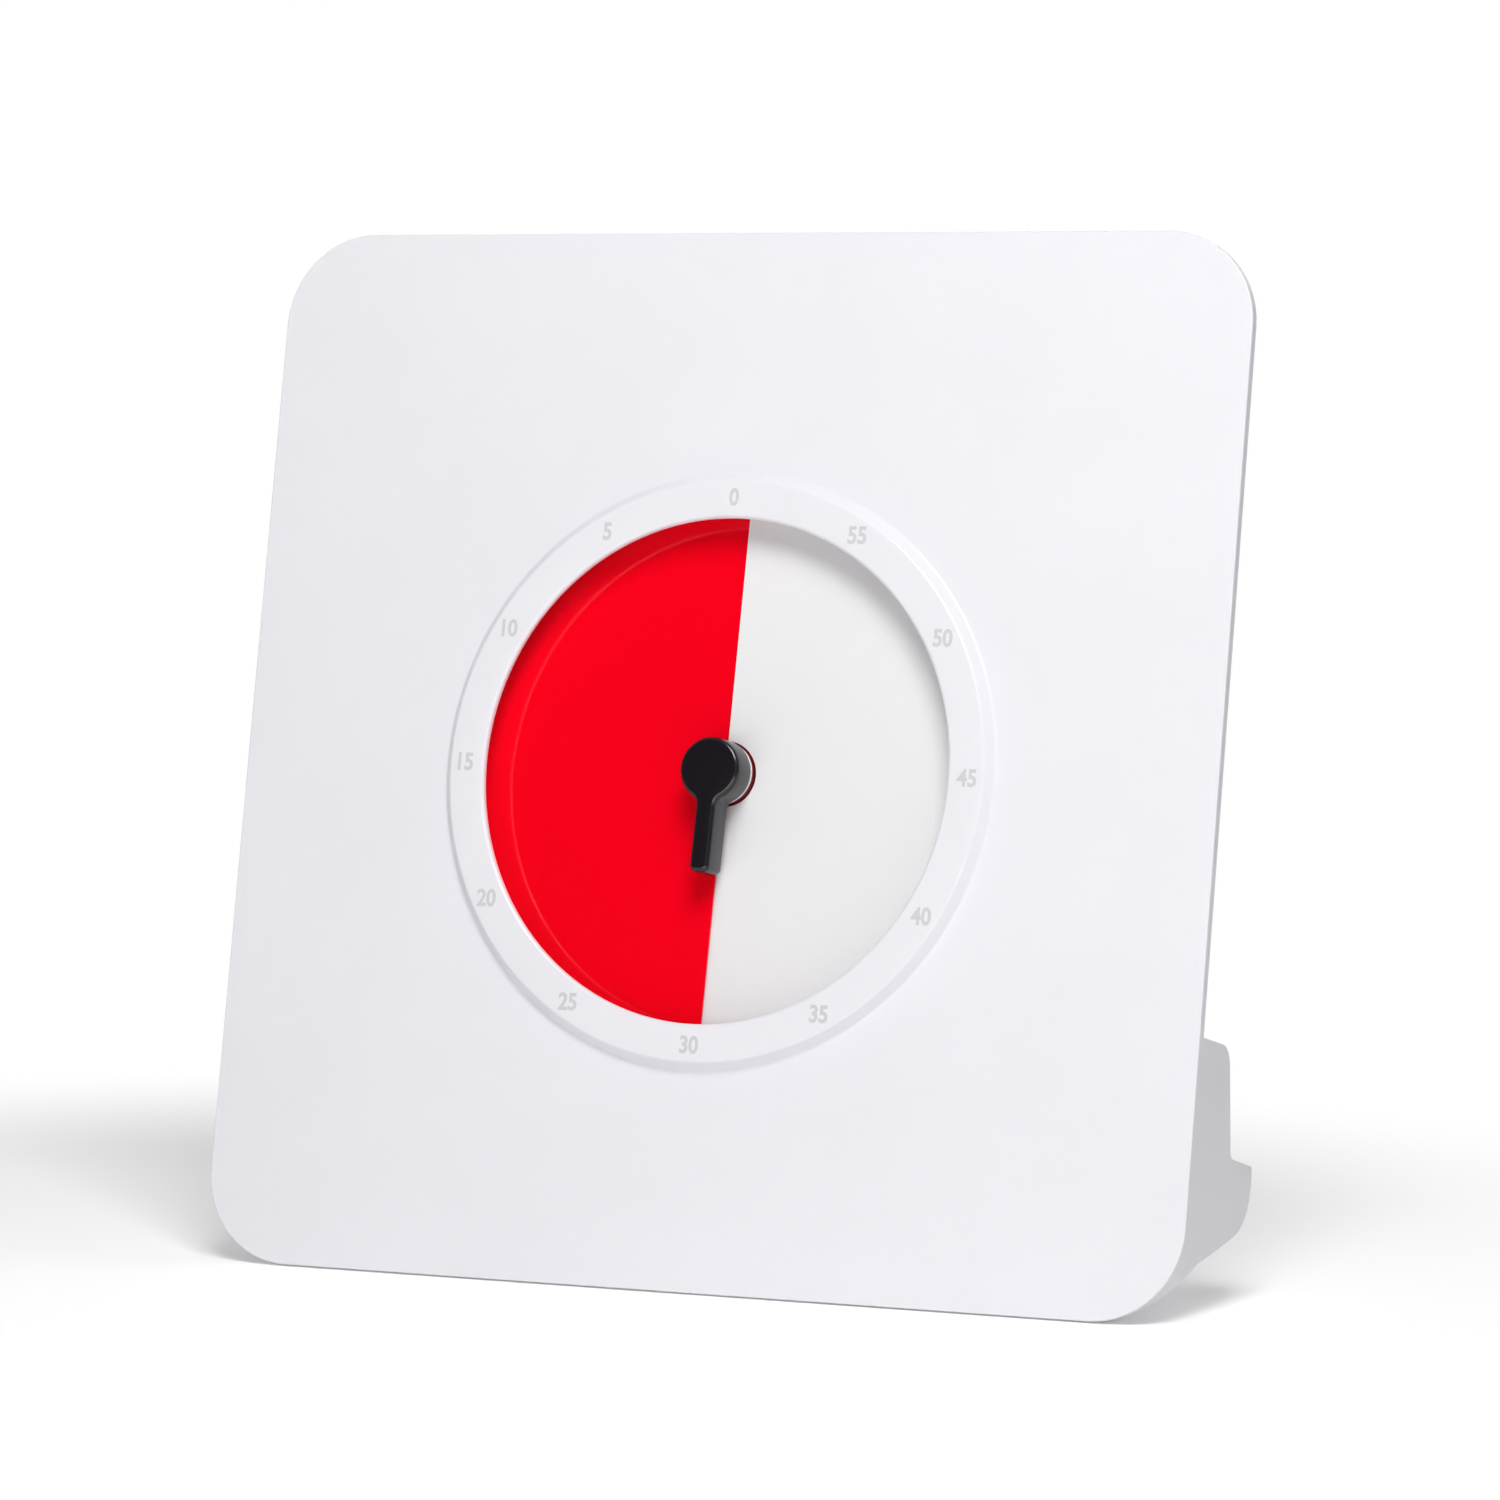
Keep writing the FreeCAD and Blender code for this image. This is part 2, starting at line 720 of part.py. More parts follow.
def pan_screws():
    one = screw(number("flange_back"), number("screw_skin"))
    count = int(number("pan_screw_count"))
    circle_radius = number("screw_circle")
    spots = [math.radians(90 + 360 * step / count) for step in range(count)]
    shaped("pan_screws", Part.makeCompound(
        [moved(one, circle_radius * math.cos(turn), circle_radius * math.sin(turn))
         for turn in spots]), DIAL_PLACE)


# Clockwork behind the pan's floor. Depths in it are counted from the front plate's back face.

def toothed(teeth, size, thick, low, turn, narrow=1.0):
    """A wheel of straight-sided teeth, thin enough to run with play. One tooth points at turn."""
    pitch_radius = teeth * size / 2
    tip, root = pitch_radius + number("tooth_tip") * size, pitch_radius - number("tooth_root") * size
    foot, crest = number("tooth_foot_share"), number("tooth_tip_share")
    step = 2 * math.pi / teeth
    shares = ((-foot, root), (-crest, tip), (crest, tip), (foot, root))
    points = [Vector(radius * math.cos(turn + step * (tooth + share * narrow)),
                     radius * math.sin(turn + step * (tooth + share * narrow)), low)
              for tooth in range(teeth) for share, radius in shares]
    return Part.Face(Part.makePolygon(points + points[:1])).extrude(Vector(0, 0, thick))


def works_level(name, thick):
    """Height of a wheel's rear face."""
    return -number(f"works_front + {name} + {thick}")


DOWN = math.radians(-90)
LEFT = math.radians(180)


def third_spot():
    return Vector(0, -number("third_reach"), 0)


def rotor_spot():
    return third_spot() + Vector(-number("rotor_out"), 0, 0)


def centre_wheel():
    wheel = toothed(int(number("centre_teeth")), number("tooth_size"), number("centre_thick"),
                    works_level("centre_level", "centre_thick"), DOWN)
    shaped("centre_wheel", wheel.cut(disc(number("shaft_radius"), -number("works_back"), 0)),
           DIAL_PLACE)


def clutch_spring():
    """Spring washer that lets the knob slip past the centre wheel when it is set by hand."""
    body = new_body("clutch_spring", DIAL_PLACE)
    ring = sketch_on(body, "-(works_front + centre_level + centre_thick + clutch_wall)")
    circle(ring, "0", "0", "clutch_radius")
    circle(ring, "0", "0", "shaft_radius")
    pad(body, ring, "clutch_wall")


def third_wheel():
    size, pinion = number("tooth_size"), int(number("third_pinion_teeth"))
    gap = math.pi / pinion
    low = works_level("centre_level", "centre_thick") - number("fit_gap")
    shape = toothed(pinion, size, number("centre_thick") + 2 * number("fit_gap"), low,
                    DOWN + math.pi + gap)
    wheel = toothed(int(number("third_teeth")), size, number("third_thick"),
                    works_level("third_level", "third_thick"), LEFT)
    sleeve = disc(number("arbor_radius + hub_wall"),
                  works_level("third_level", "third_thick"), low)
    arbor = disc(number("arbor_radius"), -number("works_end"),
                 -number("works_front - works_wall / 2"))
    shape = shape.fuse([wheel, sleeve, arbor])
    shape.translate(third_spot())
    shaped("third_wheel", shape, DIAL_PLACE)


def rotor():
    size, pinion = number("tooth_size"), int(number("rotor_teeth"))
    low = works_level("rotor_level", "rotor_reach")
    shape = toothed(pinion, size, number("rotor_reach"), low, LEFT + math.pi + math.pi / pinion)
    magnet_low = works_level("magnet_level", "magnet_thick")
    magnet = disc(number("magnet_radius"), magnet_low, magnet_low + number("magnet_thick"))
    arbor = disc(number("arbor_radius"), -number("works_end"),
                 -number("works_front - works_wall / 2"))
    shape = shape.fuse([magnet, arbor])
    shape.translate(rotor_spot())
    shaped("rotor", shape, DIAL_PLACE)


def pivot_holes(sketch):
    circle(sketch, "0", "-third_reach", "arbor_radius + running_fit")
    circle(sketch, "-rotor_out", "-third_reach", "arbor_radius + running_fit")


def movement_front():
    body = new_body("movement_front", DIAL_PLACE)
    plate = sketch_on(body, "-works_front")
    rectangle(plate, "-works_half_width", "-works_below", "works_half_width", "works_above")
    circle(plate, "0", "0", "bush_radius")
    pivot_holes(plate)
    pad(body, plate, "works_wall")


def movement_rear():
    """Box over the wheels, with their rear pivots in its back wall."""
    body = new_body("movement_rear", DIAL_PLACE)
    block = sketch_on(body, "-works_front")
    rectangle(block, "-works_half_width", "-works_below", "works_half_width", "works_above")
    pad(body, block, "works_depth + works_wall", backwards=True)
    room = sketch_on(body, "-works_front")
    rectangle(room, "works_wall - works_half_width", "works_wall - works_below",
              "works_half_width - works_wall", "works_above - works_wall")
    pocket(body, room, "works_depth")
    holes = sketch_on(body, "-works_back")
    circle(holes, "0", "0", "tail_radius + running_fit")
    pivot_holes(holes)
    pocket(body, holes, "works_wall")


def stator():
    """Iron plate round the rotor's magnet, with the arm that carries the coil."""
    body = new_body("stator", DIAL_PLACE)
    plate = sketch_on(body, "-(works_front + stator_level + stator_thick)")
    arm = "tail_radius"
    side = "magnet_radius + stator_gap + third_pinion_teeth * tooth_size / 2"
    polygon(plate, [
        (f"-coil_offset - {arm}", f"-third_reach - ({side})"),
        (f"({side}) - rotor_out", f"-third_reach - ({side})"),
        (f"({side}) - rotor_out", f"({side}) - third_reach"),
        (f"{arm} - coil_offset", f"({side}) - third_reach"),
        (f"{arm} - coil_offset", "works_above - works_wall - works_wall"),
        (f"-coil_offset - {arm}", "works_above - works_wall - works_wall"),
    ])
    circle(plate, "-rotor_out", "-third_reach", "magnet_radius + stator_gap")
    pad(body, plate, "stator_thick")


def coil():
    """Winding round the stator's arm."""
    level = number("works_front + stator_level + stator_thick / 2")
    top = number("works_above - works_wall - works_wall - stator_gap")
    winding = Part.makeCylinder(number("coil_radius"), number("coil_length"),
                                Vector(-number("coil_offset"), top, -level), Vector(0, -1, 0))
    slot_width, slot_depth = number("tail_radius") * 2, number("stator_thick")
    slot = Part.makeBox(slot_width, number("coil_length"), slot_depth,
                        Vector(-number("coil_offset") - slot_width / 2,
                               top - number("coil_length"), -level - slot_depth / 2))
    shaped("coil", winding.cut(slot), DIAL_PLACE)


# Rear housing with its battery bay, speaker and controls

def rear_housing():
    body = new_body("rear_housing", DIAL_PLACE)
    block = sketch_on(body, "-floor_back")
    round_rectangle(block, "-housing_width / 2", "-housing_below",
                    "housing_width / 2", "housing_above", "housing_round")
    shell = pad(body, block, "bay_depth + housing_wall", backwards=True)
    round_edges(body, shell, "back_round", at_level(-number("housing_back")))
    room = sketch_on(body, "-floor_back")
    round_rectangle(room, "housing_wall - housing_width / 2", "housing_wall - housing_below",
                    "housing_width / 2 - housing_wall", "housing_above - housing_wall",
                    "housing_round - housing_wall")
    pocket(body, room, "bay_depth")
    bosses = sketch_on(body, "-floor_back")
    holes = sketch_on(body, "-floor_back")
    for x in ("-boss_x", "boss_x"):
        for y in ("-boss_bottom", "boss_top"):
            circle(bosses, x, y, "boss_radius")
            circle(holes, x, y, "screw_radius + running_fit")
    pad(body, bosses, "bay_depth", backwards=True)
    pocket(body, holes, "bay_depth + housing_wall")
    bay = sketch_on(body, "-bay_back")
    rectangle(bay, "door_left", "door_bottom", "door_right", "door_top")
    pocket(body, bay, "housing_wall")
    bores = sketch_on(body, "door_left - hinge_pin_reach - running_fit", role="YZ_Plane")
    circle(bores, "hinge_height", "-hinge_depth", "hinge_pin_radius + running_fit")
    pocket(body, bores, "door_right - door_left + 2 * (hinge_pin_reach + running_fit)",
           forwards=True)
    slot = sketch_on(body, "-(floor_back + volume_level + volume_thick + fit_gap)")
    rectangle(slot, "-housing_width / 2 - housing_wall", "volume_y - volume_radius",
              "housing_wall - housing_width / 2 + fit_gap", "volume_y + volume_radius")
    pocket(body, slot, "volume_thick + fit_gap + fit_gap", forwards=True)
    guide = sketch_on(body, "-bay_back")
    rectangle(guide, "switch_x - switch_width / 2 - fit_gap",
              "switch_y - switch_height / 2 - switch_travel - fit_gap",
              "switch_x + switch_width / 2 + fit_gap",
              "switch_y + switch_height / 2 + switch_travel + fit_gap")
    pocket(body, guide, "housing_wall")
    grille = sketch_on(body, "-bay_back")
    rows = int(number("grille_rows"))
    for row in range(-rows, rows + 1):
        for column in range(-rows, rows + 1):
            if abs(row) + abs(column) <= rows + 1:
                circle(grille, f"speaker_x + {column} * grille_pitch",
                       f"speaker_y + {row} * grille_pitch", "grille_hole")
    pocket(body, grille, "housing_wall")


def housing_screws():
    one = screw(number("housing_back"), number("floor_depth + screw_skin / 2"))
    shaped("housing_screws", Part.makeCompound(
        [moved(one, number(x), number(y)) for x in ("-boss_x", "boss_x")
         for y in ("-boss_bottom", "boss_top")]), DIAL_PLACE)


def battery_tray():
    """Open box for two cells."""
    body = new_body("battery_tray", DIAL_PLACE)
    block = sketch_on(body, "-floor_back")
    rectangle(block, "bay_left - tray_wall", "bay_bottom - contact_wall - tray_wall",
              "bay_right + tray_wall", "bay_top + contact_wall + tray_wall")
    pad(body, block, "bay_depth - fit_gap", backwards=True)
    room = sketch_on(body, "-tray_floor")
    rectangle(room, "bay_left", "bay_bottom - contact_wall", "bay_right", "bay_top + contact_wall")
    pocket(body, room, "bay_depth")


def batteries():
    """Two AA cells side by side, one each way up."""
    radius, nub, half = number("cell_radius"), number("cell_nub_radius"), number("cell_length") / 2
    cell = turned([(0, -half), (radius, -half), (radius, half), (nub, half),
                   (nub, half + number("cell_nub")), (0, half + number("cell_nub"))])
    cell.rotate(Vector(), Vector(1, 0, 0), -90)
    other = cell.copy()
    other.rotate(Vector(), Vector(0, 0, 1), 180)
    cells = []
    for shape, x in ((cell, "cell_left"), (other, "cell_right")):
        shape.translate(Vector(number(x), number("cell_centre"), -number("cell_depth")))
        cells.append(shape)
    shaped("batteries", Part.makeCompound(cells), DIAL_PLACE)


def battery_contacts():
    """Sprung end plates: a flat one over the cells and two coned ones under them."""
    wall, depth = number("contact_wall"), number("cell_depth")
    plate_width, plate_height = number("cell_radius") * 2, number("contact_height")
    pieces = []
    for x in ("cell_left", "cell_right"):
        for low in (number("bay_top"), number("bay_bottom") - wall):
            corner = Vector(number(x) - plate_width / 2, low, -depth - plate_height / 2)
            pieces.append(Part.makeBox(plate_width, wall, plate_height, corner))
    for x, nub_down in (("cell_left", 0), ("cell_right", number("cell_nub"))):
        height = number("contact_room") - nub_down
        cone = Part.makeCone(number("spring_radius"), number("cell_nub_radius"), height,
                             Vector(number(x), number("bay_bottom"), -depth), Vector(0, 1, 0))
        pieces.append(cone)
    shaped("battery_contacts", Part.makeCompound(pieces), DIAL_PLACE)


def battery_door():
    """Flat door whose round upper edge turns on two short pins in the housing's wall."""
    body = new_body("battery_door", DIAL_PLACE)
    plate = sketch_on(body, "-bay_back")
    rectangle(plate, "door_left + fit_gap", "door_bottom + fit_gap",
              "door_right - fit_gap", "hinge_height")
    pad(body, plate, "housing_wall", backwards=True)
    barrel = sketch_on(body, "door_left + fit_gap", role="YZ_Plane")
    circle(barrel, "hinge_height", "-hinge_depth", "housing_wall / 2")
    pad(body, barrel, "door_right - door_left - 2 * fit_gap")
    pins = sketch_on(body, "door_left - hinge_pin_reach", role="YZ_Plane")
    circle(pins, "hinge_height", "-hinge_depth", "hinge_pin_radius")
    pad(body, pins, "door_right - door_left + 2 * hinge_pin_reach")
    notch = sketch_on(body, "-housing_back")
    circle(notch, "(door_left + door_right) / 2", "door_bottom + notch_radius + housing_wall",
           "notch_radius")
    pocket(body, notch, "housing_wall / 2", forwards=True)


def circuit_board():
    body = new_body("circuit_board", DIAL_PLACE)
    plate = sketch_on(body, "-board_level")
    rectangle(plate, "board_left", "board_bottom", "board_left + board_width",
              "board_bottom + board_height")
    circle(plate, "volume_x", "volume_y", "pin_radius")
    pad(body, plate, "board_wall")


def board_parts():
    """Chip, crystal can and two capacitors on the board."""
    level = -number("board_level")
    left, bottom = number("board_left"), number("board_bottom")
    width, height = number("board_width"), number("board_height")
    chip, wall = number("chip_side"), number("chip_wall")
    pieces = [Part.makeBox(chip, chip, wall,
                           Vector(left + width / 2, bottom + height / 2, level - wall))]
    for step in range(int(number("can_count"))):
        x = left + number("can_first") + step * number("can_step")
        pieces.append(disc(number("can_radius"), level - number("can_height"), level,
                           x, bottom + chip))
    shaped("board_parts", Part.makeCompound(pieces), DIAL_PLACE)


def speaker():
    """Small round loudspeaker with its cone towards the grille."""
    rear, front = -number("bay_back - fit_gap"), number("speaker_depth")
    wide, narrow = number("speaker_radius"), number("magnet_can_radius")
    dish = number("housing_wall")
    shape = turned([(0, rear + dish), (narrow / 2, rear + dish), (wide - dish, rear),
                    (wide, rear), (wide, rear + dish), (narrow, rear + front),
                    (narrow, rear + front + number("magnet_can_depth")),
                    (0, rear + front + number("magnet_can_depth"))])
    shape.translate(Vector(number("speaker_x"), number("speaker_y"), 0))
    shaped("speaker", shape, DIAL_PLACE)


def volume_pin():
    body = new_body("volume_pin", DIAL_PLACE)
    rod = sketch_on(body, "-floor_back")
    circle(rod, "volume_x", "volume_y", "pin_radius")
    pad(body, rod, "pin_length", backwards=True)


def volume_wheel():
    """Ridged thumbwheel that stands out of the housing's side."""
    low = -number("floor_back + volume_level + volume_thick")
    ridges, ridge = int(number("volume_ridges")), number("volume_ridge")
    size = number("volume_radius") * 2 / (ridges + 2 * number("tooth_tip"))
    wheel = toothed(ridges, size, number("volume_thick"), low, 0, narrow=ridge)
    wheel = wheel.cut(disc(number("pin_radius + running_fit"), low, 0))
    wheel.translate(Vector(number("volume_x"), number("volume_y"), 0))
    shaped("volume_wheel", wheel, DIAL_PLACE)


def sound_switch():
    """Slider whose finger piece stands out of the back wall."""
    body = new_body("sound_switch", DIAL_PLACE)
    base = sketch_on(body, "-(bay_back - fit_gap)")
    half_wide, half_high = "(switch_width / 2 + switch_brim)", "(switch_height / 2 + switch_brim)"
    rectangle(base, f"switch_x - {half_wide}", f"switch_y - {half_high}",
              f"switch_x + {half_wide}", f"switch_y + {half_high}")
    pad(body, base, "switch_base")
    finger = sketch_on(body, "-(bay_back - fit_gap)")
    rectangle(finger, "switch_x - switch_width / 2", "switch_y - switch_height / 2",
              "switch_x + switch_width / 2", "switch_y + switch_height / 2")
    pad(body, finger, "housing_wall + fit_gap + switch_show", backwards=True)


# Stand: a hollow hull behind the lower part of the panel

def crossing(one, two):
    """Where two lines meet, each a point and a direction."""
    (x1, y1, dx1, dy1), (x2, y2, dx2, dy2) = one, two
    turn = dx1 * dy2 - dy1 * dx2
    if abs(turn) < NEAR:
        return x2, y2
    share = ((x2 - x1) * dy2 - (y2 - y1) * dx2) / turn
    return x1 + share * dx1, y1 + share * dy1


def inset_outline(corners, inset):
    """The same closed outline, drawn inside by a wall. Corners run clockwise as (y, z, round)."""
    lines = []
    for (y1, z1, _), (y2, z2, _) in zip(corners, corners[1:] + corners[:1]):
        length = math.hypot(y2 - y1, z2 - z1)
        run, rise = (y2 - y1) / length, (z2 - z1) / length
        lines.append((y1 + rise * inset, z1 - run * inset, run, rise))
    shrunk = []
    for index, (_, _, radius) in enumerate(corners):
        before, after = lines[index - 1], lines[index]
        y, z = crossing(before, after)
        hollow = before[2] * after[3] - before[3] * after[2] > 0
        kept = radius + inset if hollow else max(radius - inset, number("fit_gap"))
        shrunk.append((y, z, kept if radius else 0))
    return shrunk


def rounded_wire(corners, x):
    """A closed wire in the plane of one x, with its marked corners rounded by arcs."""
    edges, joints = [], []
    count = len(corners)
    for index, (y, z, radius) in enumerate(corners):
        here = Vector(x, y, z)
        before, after = (Vector(x, *corners[(index + step) % count][:2]) for step in (-1, 1))
        back, ahead = (before - here).normalize(), (after - here).normalize()
        if not radius:
            joints.append((here, here, None))
            continue
        half = back.getAngle(ahead) / 2
        run = radius / math.tan(half)
        middle = (back + ahead).normalize() * (radius / math.sin(half) - radius)
        joints.append((here + back * run, here + ahead * run, here + middle))
    for index, (start, end, middle) in enumerate(joints):
        if middle:
            edges.append(Part.Arc(start, middle, end).toShape())
        edges.append(Part.LineSegment(end, joints[(index + 1) % count][0]).toShape())
    return Part.Wire(edges)


def hull_outline(at_side):
    """Side view of the stand: flat-footed in the middle and lifted off the floor at its sides."""
    top, drop = number("stand_top"), number("stand_top_drop")
    back, front = number("stand_back"), number("stand_front")
    tip, ledge_drop = number("ledge_tip"), number("ledge_drop")
    ledge, ledge_back = number("ledge_height"), back + number("ledge_draft")
    side_rise, slope = number("side_rise"), number("side_slope")
    knee = number("side_knee")
    corners = [
        (number("side_front"), top + (front - number("side_front")) * drop, 0),
        (back, top - (back - front) * drop, number("stand_top_round")),
        (ledge_back, ledge, number("ledge_fillet")),
        (tip, ledge - (tip - ledge_back) * ledge_drop, number("ledge_tip_round")),
    ]
    if at_side:
        corners += [(tip, side_rise, number("side_round")),
                    (knee, side_rise - (tip - knee) * slope, 0),
                    (number("side_front"), number("side_front_rise"), 0)]
    else:
        corners += [(number("foot_back"), number("foot_rise"), number("foot_round")),
                    (knee, number("foot_rise"), 0),
                    (number("side_front"), number("foot_rise"), 0)]
    return corners


def hull(inset):
    """The stand's hull, lofted straight from its raised sides to its flat foot."""
    half, flat = number("panel_side") / 2, number("foot_half_width")
    wires = []
    for x in (-half, -flat, flat, half):
        corners = hull_outline(abs(x) == half)
        wires.append(rounded_wire(inset_outline(corners, inset) if inset else corners, x))
    solid = Part.makeLoft(wires, True, True)
    solid.translate(Vector(0, FOOT_Y, 0))
    return solid


def panel_prism(inset, front):
    """A long prism of the panel's outline that runs straight back from one depth."""
    side, radius = number("panel_side") - 2 * inset, number("panel_round") - inset
    block = Part.makeBox(side, side, side, Vector(-side / 2, -side / 2, -side - front))
    block = block.makeFillet(radius, [edge for edge in block.Edges if upright(edge)])
    block.Placement = PANEL_PLACE
    return block


def stand_screw_spots():
    return [(side * number(reach), -number("stand_screw_drop"))
            for side in (-1, 1) for reach in ("stand_screw_in", "stand_screw_out")]


def placed(shape, place):
    copy = shape.copy()
    copy.Placement = place.multiply(copy.Placement)
    return copy


def stand_shell():
    """Hollow moulding that follows the panel's outline, relieved round the pan."""
    wall, front = number("stand_wall"), number("rim_depth")
    outer = hull(0).common(panel_prism(0, front))
    inner = hull(wall).common(panel_prism(wall, 0))
    shell = outer.cut(inner)
    reach, seat = number("panel_side"), number("stand_screw_seat")
    gap = number("pan_clearance")
    for x, y in stand_screw_spots():
        post = placed(disc(number("stand_boss_radius"), -reach, -front, x, y), PANEL_PLACE)
        shell = shell.fuse(post.common(outer))
        bore = disc(number("stand_bore_radius"), -reach, -seat, x, y)
        hole = disc(number("screw_radius + running_fit"), -reach, 0, x, y)
        shell = shell.cut(placed(bore.fuse(hole), PANEL_PLACE))
    room = disc(number("flange_radius") + gap, -number("flange_back") - gap, 0)
    room = room.fuse(disc(number("pan_outer") + gap, -number("floor_back") - gap, 0))
    shell = shell.cut(placed(room, DIAL_PLACE))
    for x, y in pad_spots():
        recess = disc(number("pad_radius"), 0, number("pad_depth"), x, y)
        shell = shell.cut(recess)
    shaped("stand_shell", shell, Placement())


def stand_screws():
    one = screw(number("stand_screw_seat"), number("screw_skin"))
    shaped("stand_screws", Part.makeCompound(
        [moved(one, x, y) for x, y in stand_screw_spots()]), PANEL_PLACE)


def pad_spots():
    return [(side * number("pad_out"), FOOT_Y + number(depth))
            for side in (-1, 1) for depth in ("pad_front", "pad_back")]


def rubber_feet():
    pads = [disc(number("pad_radius"), 0, number("pad_depth"), x, y) for x, y in pad_spots()]
    shaped("rubber_feet", Part.makeCompound(pads), Placement())


front_panel()
back_panel()
bezel_ring()
dial_plate()
red_disc()
clamp_washer()
knob()
shaft()
shaft_bush()
dial_pan()
pan_screws()
movement_front()
movement_rear()
centre_wheel()
clutch_spring()
third_wheel()
rotor()
stator()
coil()
rear_housing()
housing_screws()
battery_tray()
batteries()
battery_contacts()
battery_door()
circuit_board()
board_parts()
speaker()
volume_pin()
volume_wheel()
sound_switch()
stand_shell()
stand_screws()
rubber_feet()

doc.recompute()

for item in doc.Objects:
    if "Invalid" in item.State or "Error" in item.State:
        raise RuntimeError(f"{item.Label} ({item.Name}) was left {item.State}")
for label, piece in parts.items():
    if piece.Shape.isNull() or not piece.Shape.isValid():
        raise RuntimeError(f"{label} has no valid shape")

os.makedirs("parts", exist_ok=True)
for label, piece in parts.items():
    piece.Shape.exportStep(f"parts/{label}.step")
    box = piece.Shape.BoundBox
    print(f"{label:18s} solids {len(piece.Shape.Solids):2d} volume {piece.Shape.Volume:10.1f} "
          f"x {box.XMin:7.1f} {box.XMax:7.1f} y {box.YMin:7.1f} {box.YMax:7.1f} "
          f"z {box.ZMin:7.1f} {box.ZMax:7.1f}")
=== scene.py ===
"""Looks of the visual countdown timer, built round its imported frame.

Lengths are in metres, and the values named in millimetres are multiplied by MM where they are used.
The dial has a frame of its own: x to the right, y up the panel and z out of its face. The ring's
and the knob's heights count outwards from that face. The depths of spigot, dial and floor, and the
fronts, backs and floor of hub and washer, count inwards from it.
"""
import json
import math

import bpy
from mathutils import Matrix, Vector


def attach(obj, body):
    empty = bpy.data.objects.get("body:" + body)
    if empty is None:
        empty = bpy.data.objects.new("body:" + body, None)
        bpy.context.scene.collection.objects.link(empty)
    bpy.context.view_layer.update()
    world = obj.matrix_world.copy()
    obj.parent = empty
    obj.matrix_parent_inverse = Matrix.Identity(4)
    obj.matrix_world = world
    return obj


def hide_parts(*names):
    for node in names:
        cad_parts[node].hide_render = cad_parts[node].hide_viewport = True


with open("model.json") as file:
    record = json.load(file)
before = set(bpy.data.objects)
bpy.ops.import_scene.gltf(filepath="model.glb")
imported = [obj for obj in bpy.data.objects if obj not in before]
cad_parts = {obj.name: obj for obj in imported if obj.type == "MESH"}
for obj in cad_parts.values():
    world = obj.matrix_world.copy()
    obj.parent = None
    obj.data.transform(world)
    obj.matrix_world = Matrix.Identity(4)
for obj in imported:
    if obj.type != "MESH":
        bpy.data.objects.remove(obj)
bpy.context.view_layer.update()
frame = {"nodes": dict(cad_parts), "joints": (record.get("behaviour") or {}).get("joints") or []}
nodes = frame["nodes"]
MM = 0.001
# Two places are the same when they are this close, in metres
NEAR = 1e-6

knob_joint = next(joint for joint in frame["joints"] if joint["name"] == "knob_turn")
DIAL_CENTRE = Vector(knob_joint["pos_m"])
DIAL_OUT = Vector(knob_joint["axis"]).normalized()
DIAL_RIGHT = Vector((1, 0, 0))
DIAL_UP = DIAL_OUT.cross(DIAL_RIGHT)
DIAL_AXES = Matrix((DIAL_RIGHT, DIAL_UP, DIAL_OUT)).transposed()
DIAL = Matrix.Translation(DIAL_CENTRE) @ DIAL_AXES.to_4x4()
# How far the dial's centre lies below the middle of the panel, in millimetres
DIAL_DROP = 5.45
PANEL_CENTRE = DIAL_CENTRE + DIAL_UP * DIAL_DROP * MM

# Ring round the window, in millimetres
WINDOW_RADIUS = 103.0
RING_RADIUS = 121.8
RING_RISE = 4.5
RING_FLANK = 3.4
FOOT_ROUND = 1.5
SHOULDER_ROUND = 1.6
LIP_ROUND = 1.6
LIP_FOOT_ROUND = LIP_ROUND / 2
LIP_BOTTOM = 1.3
SPIGOT_RADIUS = 115.85
SPIGOT_WALL = 2.3
SPIGOT_DEPTH = 4.2
# The ring stands this far off the panel, so that no two faces share a plane
FACE_LIFT = 0.02

# White plate and red film, two thin leaves that wind through each other's cut. The film's root lies
# inside the hub. The cuts are turned and opened by an angle in degrees.
FILM_WALL = 0.6
FILM_ROOT = 0.5
DISC_RADIUS = 114.0
DISC_PITCH = 3.0
DIAL_DEPTH = 12.5
SLIT_TURN = 0.8
SLIT_GAP = 0.3
PLATE_GAP = 0.7
PLATE_RIM_GAP = 0.2
CUP_RADIUS = 115.2
CUP_OUTER = 116.7
FLOOR_DEPTH = 17.0
FIT_GAP = 0.3

# Hub of the red film, its collar and the washer that clamps it
HUB_RADIUS = 12.6
HUB_BACK = 14.5
HUB_FLOOR = 10.9
SHAFT_BORE = 3.1
WASHER_RADIUS = 12.7
WASHER_FRONT = 6.5
WASHER_BACK = 7.4
WASHER_ROUND = 0.3
COLLAR_RADIUS = 11.9
COLLAR_RISE = 2.4

# Knob: a head with a hollow skirt, on a neck that bites into it, and a straight lever
HEAD_RADIUS = 13.1
HEAD_DEPTH = 10.0
SKIRT_DEPTH = 2.4
SKIRT_WALL = 0.8
KNOB_FRONT = 7.5
KNOB_ROUND = 1.9
KNOB_BACK_ROUND = 0.3
KNOB_FILLET = 4.5
TIP_ROUND = 2.8
SHAFT_RADIUS = 3.2
NECK_RADIUS = 7.5
NECK_REACH = 6.5
NECK_BITE = 0.3
NECK_BORE = NECK_RADIUS + 2 * FIT_GAP
LEVER_WIDTH = 8.6
LEVER_REACH = 42.0
# The photo shows the lever turned a little past the half hour, in degrees
LEVER_TURN = -1.5

